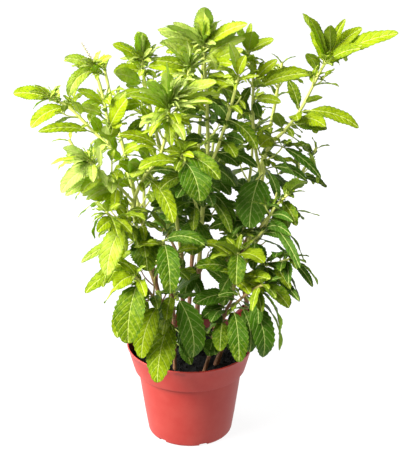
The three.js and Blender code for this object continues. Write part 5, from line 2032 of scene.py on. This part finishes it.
@dataclass
class FlowerSpikes:
    """Thin spikes of small calyces in whorls, at a few tips.

    Each spike is the node of its stem, and the points of its foot and its tip. A calyx is a cup
    that widens from its foot, by the rows of its length and radius.
    """

    axis_radius: float = 0.55
    rings: int = 6
    sides: int = 6
    whorl_step: float = 3.6
    whorl_count: int = 5
    whorl_turn: float = 0.7
    calyx: float = 2.3
    last_calyx: float = 0.55
    cup: tuple = ((0.0, 0.14), (0.35, 0.34), (0.75, 0.4), (1.0, 0.16))
    spikes: tuple = (
        ("stem_left", (-93, 28, 391), (-104, 22, 414)),
        ("stem_right", (62, -44, 254), (65, -50, 270)),
    )

    def build(self, node: str, patches: Patchwork) -> None:
        """Adds the spikes of one stem to its patches."""
        for owner, foot, tip in self.spikes:
            if owner == node:
                self._spike(np.array(foot, float), np.array(tip, float), patches)

    def _spike(self, foot: np.ndarray, tip: np.ndarray, patches: Patchwork) -> None:
        """Adds one spike.

        Args:
            foot: Where it starts.
            tip: Where it ends.
            patches: The patches that it joins.
        """
        length = float(np.linalg.norm(tip - foot))
        along = (tip - foot) / length
        shares = np.linspace(0, 1, self.rings)
        middles = foot + shares[:, None] * (tip - foot)
        ways = np.tile(along, (self.rings, 1))
        points = tube_points(middles, ways, self.axis_radius * (1 - 0.5 * shares), self.sides)
        patches.add(points, tube_plan(self.rings, self.sides), 1, {"youth": 0.6})
        across = np.cross(along, [0.0, 1.0, 0.0])
        across /= np.linalg.norm(across)
        up = np.cross(along, across)
        whorls = int(length / self.whorl_step)
        for i in range(1, whorls + 1):
            size = self.calyx * lerp(1.0, self.last_calyx, i / whorls)
            place = foot + along * (i * self.whorl_step)
            for k in range(self.whorl_count):
                turn = 2 * math.pi * k / self.whorl_count + self.whorl_turn * i
                out = across * math.cos(turn) + up * math.sin(turn)
                self._calyx(place, out * 0.85 + along * 0.5, size, patches)

    def _calyx(self, foot: np.ndarray, way: np.ndarray, size: float, patches: Patchwork) -> None:
        """Adds one calyx.

        Args:
            foot: Where it starts.
            way: The direction that it opens in.
            size: Its length.
            patches: The patches that it joins.
        """
        way = way / np.linalg.norm(way)
        shares, radii = np.array(self.cup).T
        rows = len(self.cup)
        points = tube_points(foot + shares[:, None] * way * size, np.tile(way, (rows, 1)), size * radii,
                             self.sides)
        patches.add(points, tube_plan(rows, self.sides), 2, {"youth": 0.5})


def dress(piece: bpy.types.Object, slot: str, *nodes: str) -> None:
    """Fixes a piece to the plant's body, hides the solids' nodes that it stands for and logs its triangles.

    Args:
        piece: The piece.
        slot: Not used.
        nodes: The solids' nodes that it stands for.
    """
    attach(piece, "root")
    if nodes:
        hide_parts(*nodes)
    piece.data.calc_loop_triangles()
    LOG.info("%s: %d triangles", piece.name, len(piece.data.loop_triangles))


def lathe(profile: np.ndarray, segments: int) -> tuple[np.ndarray, list]:
    """Turns a profile round the upright axis.

    Args:
        profile: Points of radius and height. The first and the last lie on the axis.
        segments: Points to a turn.

    Returns:
        The points, and faces as lists of point numbers, facing out where the profile runs
        outward along the bottom and up.
    """
    turns = 2 * np.pi * np.arange(segments) / segments
    rings = [np.column_stack([r * np.cos(turns), r * np.sin(turns), np.full(segments, z)])
             for r, z in profile[1:-1]]
    points = np.vstack([[[0, 0, profile[0][1]]], *rings, [[0, 0, profile[-1][1]]]])
    faces = []
    last = len(points) - 1
    start = last - segments
    for k in range(segments):
        after = (k + 1) % segments
        faces.append([0, 1 + after, 1 + k])
        faces.append([last, start + k, start + after])
        for low in range(1, start, segments):
            high = low + segments
            faces.append([low + k, low + after, high + after, high + k])
    return points, faces


def mesh_object(name: str, points: np.ndarray, faces: list, material: bpy.types.Material | None,
                sharp: float = 40.0) -> bpy.types.Object:
    """Makes an object from points in millimetres and faces.

    Args:
        name: Its name.
        points: Its points.
        faces: Lists of point numbers.
        material: Its material.
        sharp: Edges that turn more degrees than this stay crisp.

    Returns:
        The object, at the origin.
    """
    mesh = bpy.data.meshes.new(name)
    mesh.from_pydata((points * MM).tolist(), [], faces)
    mesh.polygons.foreach_set("use_smooth", np.ones(len(mesh.polygons), bool))
    mesh.set_sharp_from_angle(angle=sharp * RAD)
    mesh.materials.append(material)
    return object_of(name, mesh)


def arc(x: float, z: float, radius: float, start: float, end: float, count: int) -> list:
    """Points of a profile on an arc round (x, z), with angles in degrees."""
    angles = np.linspace(start, end, count) * RAD
    return [(x + radius * math.cos(a), z + radius * math.sin(a)) for a in angles]


@dataclass
class Pot:
    """The moulded nursery pot: rounded rim, deep band, tapered body and drain notches."""

    shape: PotShape
    segments: int = 120
    crisp_edge: float = 35
    foot_rise: float = 1.2
    corner: float = 4.0
    step_round: float = 0.6
    rim_round: float = 0.9
    drains: int = 6
    drain_size: tuple = (9, 9, 7)
    drain_turn: float = -131 * RAD

    def profile(self) -> np.ndarray:
        """The pot's outline, from the middle of its foot round the rim to its floor."""
        s = self.shape
        top, step, wall, ease = s.height, s.step, s.wall, self.step_round
        up = (0.3, 0.6, 0.9)
        points = [(0, self.foot_rise), (s.base - 9, self.foot_rise), (s.base - 8, 0)]
        points += arc(s.base - self.corner + 0.4, self.corner, self.corner, -80, -6, 7)
        points += [(lerp(s.base, s.body_top, share) + 0.25, step * share) for share in up]
        points += [(s.body_top, step - 0.8), (s.body_top + 0.8, step), (s.rim_foot - ease, step)]
        points += arc(s.rim_foot - ease, step + ease, ease, -80, -5, 4)
        points += [(lerp(s.rim_foot, s.rim_top - 0.3, share), lerp(step, top, share)) for share in up]
        points += arc(s.rim_top - self.rim_round, top - self.rim_round, self.rim_round, 0, 180, 9)
        points += [(s.rim_foot - wall, step + 3), (s.body_top - wall + 0.4, step + wall),
                   (s.body_top - wall, step), (s.base - wall, s.floor + 2), (s.base - wall - 2, s.floor),
                   (0, s.floor)]
        return np.array(points)

    def build(self) -> None:
        """Makes the pot and cuts its drain notches."""
        points, faces = lathe(self.profile(), self.segments)
        finish = PotPlastic(self.shape)
        pot = mesh_object("nursery_pot", points, faces, finish.material(), self.crisp_edge)
        cutters = self._cutters()
        cut = pot.modifiers.new("drains", "BOOLEAN")
        cut.operation = "DIFFERENCE"
        cut.solver = "EXACT"
        cut.object = cutters
        bpy.context.view_layer.update()
        evaluated = pot.evaluated_get(bpy.context.evaluated_depsgraph_get())
        mesh = bpy.data.meshes.new_from_object(evaluated)
        pot.modifiers.clear()
        pot.data = mesh
        mesh.set_sharp_from_angle(angle=self.crisp_edge * RAD)
        bpy.data.objects.remove(cutters)
        dress(pot, "pot_plastic", "pot")

    def _cutters(self) -> bpy.types.Object:
        """Boxes where the drain notches are."""
        points, faces = [], []
        half = np.array(self.drain_size) / 2
        corners = np.array([(x, y, z) for x in (-1, 1) for y in (-1, 1) for z in (-1, 1)]) * half
        sides = [(0, 1, 3, 2), (4, 6, 7, 5), (0, 4, 5, 1), (2, 3, 7, 6), (0, 2, 6, 4), (1, 5, 7, 3)]
        for i in range(self.drains):
            turn = self.drain_turn + 2 * math.pi * i / self.drains
            x = corners[:, 0] + self.shape.base
            points.append(np.column_stack([
                x * math.cos(turn) - corners[:, 1] * math.sin(turn),
                x * math.sin(turn) + corners[:, 1] * math.cos(turn), corners[:, 2]]))
            faces += [[8 * i + corner for corner in side] for side in sides]
        return mesh_object("drain_cutters", np.vstack(points), faces, None)


@dataclass
class Soil:
    """Potting soil: a lumpy top, crumbs and fibres on it, and plain sides in the pot."""

    shape: PotShape
    seed: int = 5
    rings: int = 46
    segments: int = 120
    roughness: float = 0.22
    crumbs: int = 420
    crumb_sizes: tuple = (0.5, 1.7)
    crumb: tuple = ((0, -1), (0.75, -0.55), (1, 0.1), (0.6, 0.7), (0, 0.95))
    gap: float = 0.35

    def height_at(self, x: np.ndarray, y: np.ndarray, top_radius: float) -> np.ndarray:
        """The height of the soil's top, with its low lumps.

        Args:
            x: Places across.
            y: Places from front to back.
            top_radius: The radius of the soil's top.

        Returns:
            The height at each place.
        """
        inward = np.clip(1 - np.hypot(x, y) / top_radius, 0, 1)
        low = np.sin(0.17 * x + 1) * np.cos(0.21 * y) + 0.5 * np.sin(0.4 * x - 0.3 * y)
        fine = 0.35 * np.sin(1.1 * x + 0.6 * y) * np.cos(0.9 * y - 0.5 * x) + 0.22 * np.sin(2.3 * x) \
            * np.cos(2.7 * y + 1)
        lumps = 0.5 * low * np.minimum(1, 4 * inward) + 0.4 * inward
        return self.shape.soil + self.shape.soil_relief * lumps + 0.6 * fine * np.minimum(1, 6 * inward)

    def build(self) -> None:
        """Makes the soil."""
        s = self.shape
        rng = np.random.default_rng(self.seed)
        inset = s.wall + self.gap
        top_radius = float(s.radius_at(np.array(s.soil))) - inset
        sides = [(0, s.floor + self.gap), (s.base - inset - 2, s.floor + self.gap),
                 (s.body_top - inset - 0.6, s.step), (s.rim_foot - inset - 0.4, s.step + 3)]
        top = [(top_radius * (1 - i / self.rings), s.soil) for i in range(self.rings)]
        points, faces = lathe(np.array([*sides, *top, (0, s.soil)]), self.segments)
        on_top = points[:, 2] > s.soil - 0.01
        x, y = points[on_top, 0], points[on_top, 1]
        jitter = rng.normal(0, self.roughness, len(x)) * (np.hypot(x, y) < top_radius - 0.5)
        points[on_top, 2] = self.height_at(x, y, top_radius) + jitter
        patches, count = [points], len(points)
        for _ in range(self.crumbs):
            radius = top_radius * 0.96 * math.sqrt(rng.random())
            turn = 2 * math.pi * rng.random()
            px, py = radius * math.cos(turn), radius * math.sin(turn)
            size = rng.uniform(*self.crumb_sizes)
            crumb, crumb_faces = self._crumb(rng, size)
            level = float(self.height_at(np.array(px), np.array(py), top_radius))
            patches.append(crumb + [px, py, level + 0.2 * size])
            faces += [[count + i for i in face] for face in crumb_faces]
            count += len(crumb)
        finish = PottingSoil()
        dress(mesh_object("potting_soil", np.vstack(patches), faces, finish.material(), 60), "soil", "soil")

    def _crumb(self, rng: np.random.Generator, size: float) -> tuple[np.ndarray, list]:
        """A rough little lump."""
        points, faces = lathe(np.array(self.crumb) * size, 7)
        return points * rng.uniform(0.7, 1.3, (1, 3)) + rng.normal(0, 0.12 * size, points.shape), faces


@dataclass
class Tie:
    """A red ribbon wound round the foot of the right stem, with white thread between its turns."""

    shoot: Shoot
    start: float = 0.165
    end: float = 0.245
    radius: float = 4.4
    turns: float = 4.5
    steps: int = 150
    ribbon: float = 4.6
    thickness: float = 0.7
    ribbon_end: float = 0.006
    thread: float = 0.55
    thread_sides: int = 6
    thread_end: float = 0.01
    red: TieFinish = TieFinish("tie_red", colour(168, 26, 12), colour(96, 10, 5))
    white: TieFinish = TieFinish("tie_white", colour(238, 226, 222), colour(206, 170, 168))

    def _helix(self, first_turn: float, radius: float,
               inset: float) -> tuple[np.ndarray, np.ndarray, np.ndarray]:
        """A winding round the stem.

        Args:
            first_turn: Where it starts round the stem, in turns.
            radius: How far out it lies.
            inset: How far it keeps from the tie's ends, as a share of the stem.

        Returns:
            Its points, outward directions and the stem's directions there.
        """
        shares = np.linspace(self.start + inset, self.end - inset, self.steps)
        ways = self.shoot.way(shares)
        across, up = square_ways(ways)
        turns = first_turn + self.turns * np.arange(self.steps)[:, None] / (self.steps - 1)
        outward = across * np.cos(2 * math.pi * turns) + up * np.sin(2 * math.pi * turns)
        return self.shoot.at(shares) + radius * outward, outward, ways

    def build(self) -> None:
        """Makes the ribbon and the thread."""
        half, thick = self.ribbon / 2, self.thickness / 2
        inner = half * 0.4
        section = [(-half, -thick), (-inner, -thick), (inner, -thick), (half, -thick),
                   (half, thick), (inner, thick * 1.5), (-inner, thick * 1.5), (-half, thick)]
        places, outward, ways = self._helix(0, self.radius, self.ribbon_end)
        rings = [places + a * ways + b * outward for a, b in section]
        dress(self._closed("tie_ribbon", rings, self.red), "tie", "red_tie")
        places, outward, ways = self._helix(0.5, self.radius - 0.2, self.thread_end)
        turns = 2 * np.pi * np.arange(self.thread_sides) / self.thread_sides
        rings = [places + self.thread * math.cos(t) * outward + self.thread * math.sin(t) * ways
                 for t in turns]
        dress(self._closed("tie_thread", rings, self.white), "tie")

    def _closed(self, name: str, edges: list[np.ndarray], finish: TieFinish) -> bpy.types.Object:
        """Closes a strip's long edges into a solid.

        Args:
            name: The strip's name.
            edges: The edges' points, in order round the strip's section.
            finish: Its finish.

        Returns:
            The object.
        """
        sides, rows = len(edges), self.steps
        faces = [[i * sides + k, i * sides + (k + 1) % sides, (i + 1) * sides + (k + 1) % sides,
                  (i + 1) * sides + k] for i in range(rows - 1) for k in range(sides)]
        faces.append(list(reversed(range(sides))))
        faces.append([(rows - 1) * sides + k for k in range(sides)])
        return mesh_object(name, np.stack(edges, axis=1).reshape(-1, 3), faces, finish.material(), 50)


@dataclass
class Studio:
    """A white floor, soft light from the left and above, and the photograph's camera."""

    floor_size: float = 60.0
    view: Viewpoint = Viewpoint()
    key: float = 4.6
    key_width: float = 34
    fill: float = 0.25
    fill_width: float = 70
    softbox: float = 22
    softbox_size: float = 0.6
    rim_light: float = 20
    rim_light_size: float = 0.8
    world: float = 0.24

    def build(self) -> None:
        """Makes the floor, the lights and the camera."""
        self._floor()
        self._sun("key", (-1.0, -0.45, 0.95), self.key, self.key_width)
        self._sun("fill", (0.5, -0.6, 1.4), self.fill, self.fill_width)
        self._softbox("softbox", (-0.7, -0.5, 0.92), (0, 0, 0.38), self.softbox_size, self.softbox)
        self._softbox("rim_light", (-0.95, 0.6, 0.5), (0, 0, 0.15), self.rim_light_size, self.rim_light)
        world = bpy.data.worlds.new("studio")
        world.use_nodes = True
        background = world.node_tree.nodes["Background"]
        background.inputs["Color"].default_value = (1, 1, 1, 1)
        background.inputs["Strength"].default_value = self.world
        bpy.context.scene.world = world
        bpy.context.scene.view_settings.view_transform = "Standard"
        self._camera()

    def _floor(self) -> None:
        """A white floor that the pot stands on."""
        half = self.floor_size / 2 / MM
        corners = np.array([(-half, -half, 0), (half, -half, 0), (half, half, 0), (-half, half, 0)])
        floor = mesh_object("floor", corners, [[0, 1, 2, 3]], StudioPaper().material())

    def _hang(self, data: bpy.types.Light, place: tuple, aim: tuple) -> None:
        """Hangs a light.

        Args:
            data: The light.
            place: Where it hangs.
            aim: The point that it faces.
        """
        light = bpy.data.objects.new(data.name, data)
        light.location = place
        away = np.array(place) - np.array(aim)
        tilt = math.atan2(math.hypot(away[0], away[1]), away[2])
        light.rotation_euler = (tilt, 0, math.atan2(away[0], -away[1]))
        bpy.context.scene.collection.objects.link(light)

    def _sun(self, name: str, place: tuple, strength: float, width: float) -> None:
        """A soft light that is the same all over the floor.

        Args:
            name: Its name.
            place: The direction that it comes from.
            strength: Its strength on what faces it.
            width: How wide it looks from the plant, in degrees.
        """
        data = bpy.data.lights.new(name, "SUN")
        data.energy = strength
        data.angle = width * RAD
        self._hang(data, place, (0, 0, 0))

    def _softbox(self, name: str, place: tuple, aim: tuple, size: float, power: float) -> None:
        """A square soft light near the plant.

        Args:
            name: Its name.
            place: Where it is.
            aim: The point that it faces.
            size: The length of its sides.
            power: Its power in watts.
        """
        data = bpy.data.lights.new(name, "AREA")
        data.size = size
        data.energy = power
        self._hang(data, place, aim)

    def _camera(self) -> None:
        """The camera at the photograph's angle."""
        data = bpy.data.cameras.new("camera")
        data.sensor_fit = "VERTICAL"
        data.sensor_height = 24
        data.lens = self.view.focal_pixels * data.sensor_height / self.view.height
        camera = bpy.data.objects.new("camera", data)
        camera.location = [MM * value for value in self.view.place]
        camera.rotation_euler = (self.view.pitch * RAD, 0, 0)
        bpy.context.scene.collection.objects.link(camera)
        bpy.context.scene.camera = camera


def main() -> None:
    """Builds the pieces and the studio in order."""
    logging.basicConfig(level=logging.INFO, format="%(message)s")
    shape = PotShape()
    Studio().build()
    Pot(shape).build()
    Soil(shape).build()
    plant = Plant(shape)
    plant.build()
    Tie(plant.shoots["right"]).build()


if __name__ == "__main__":
    main()
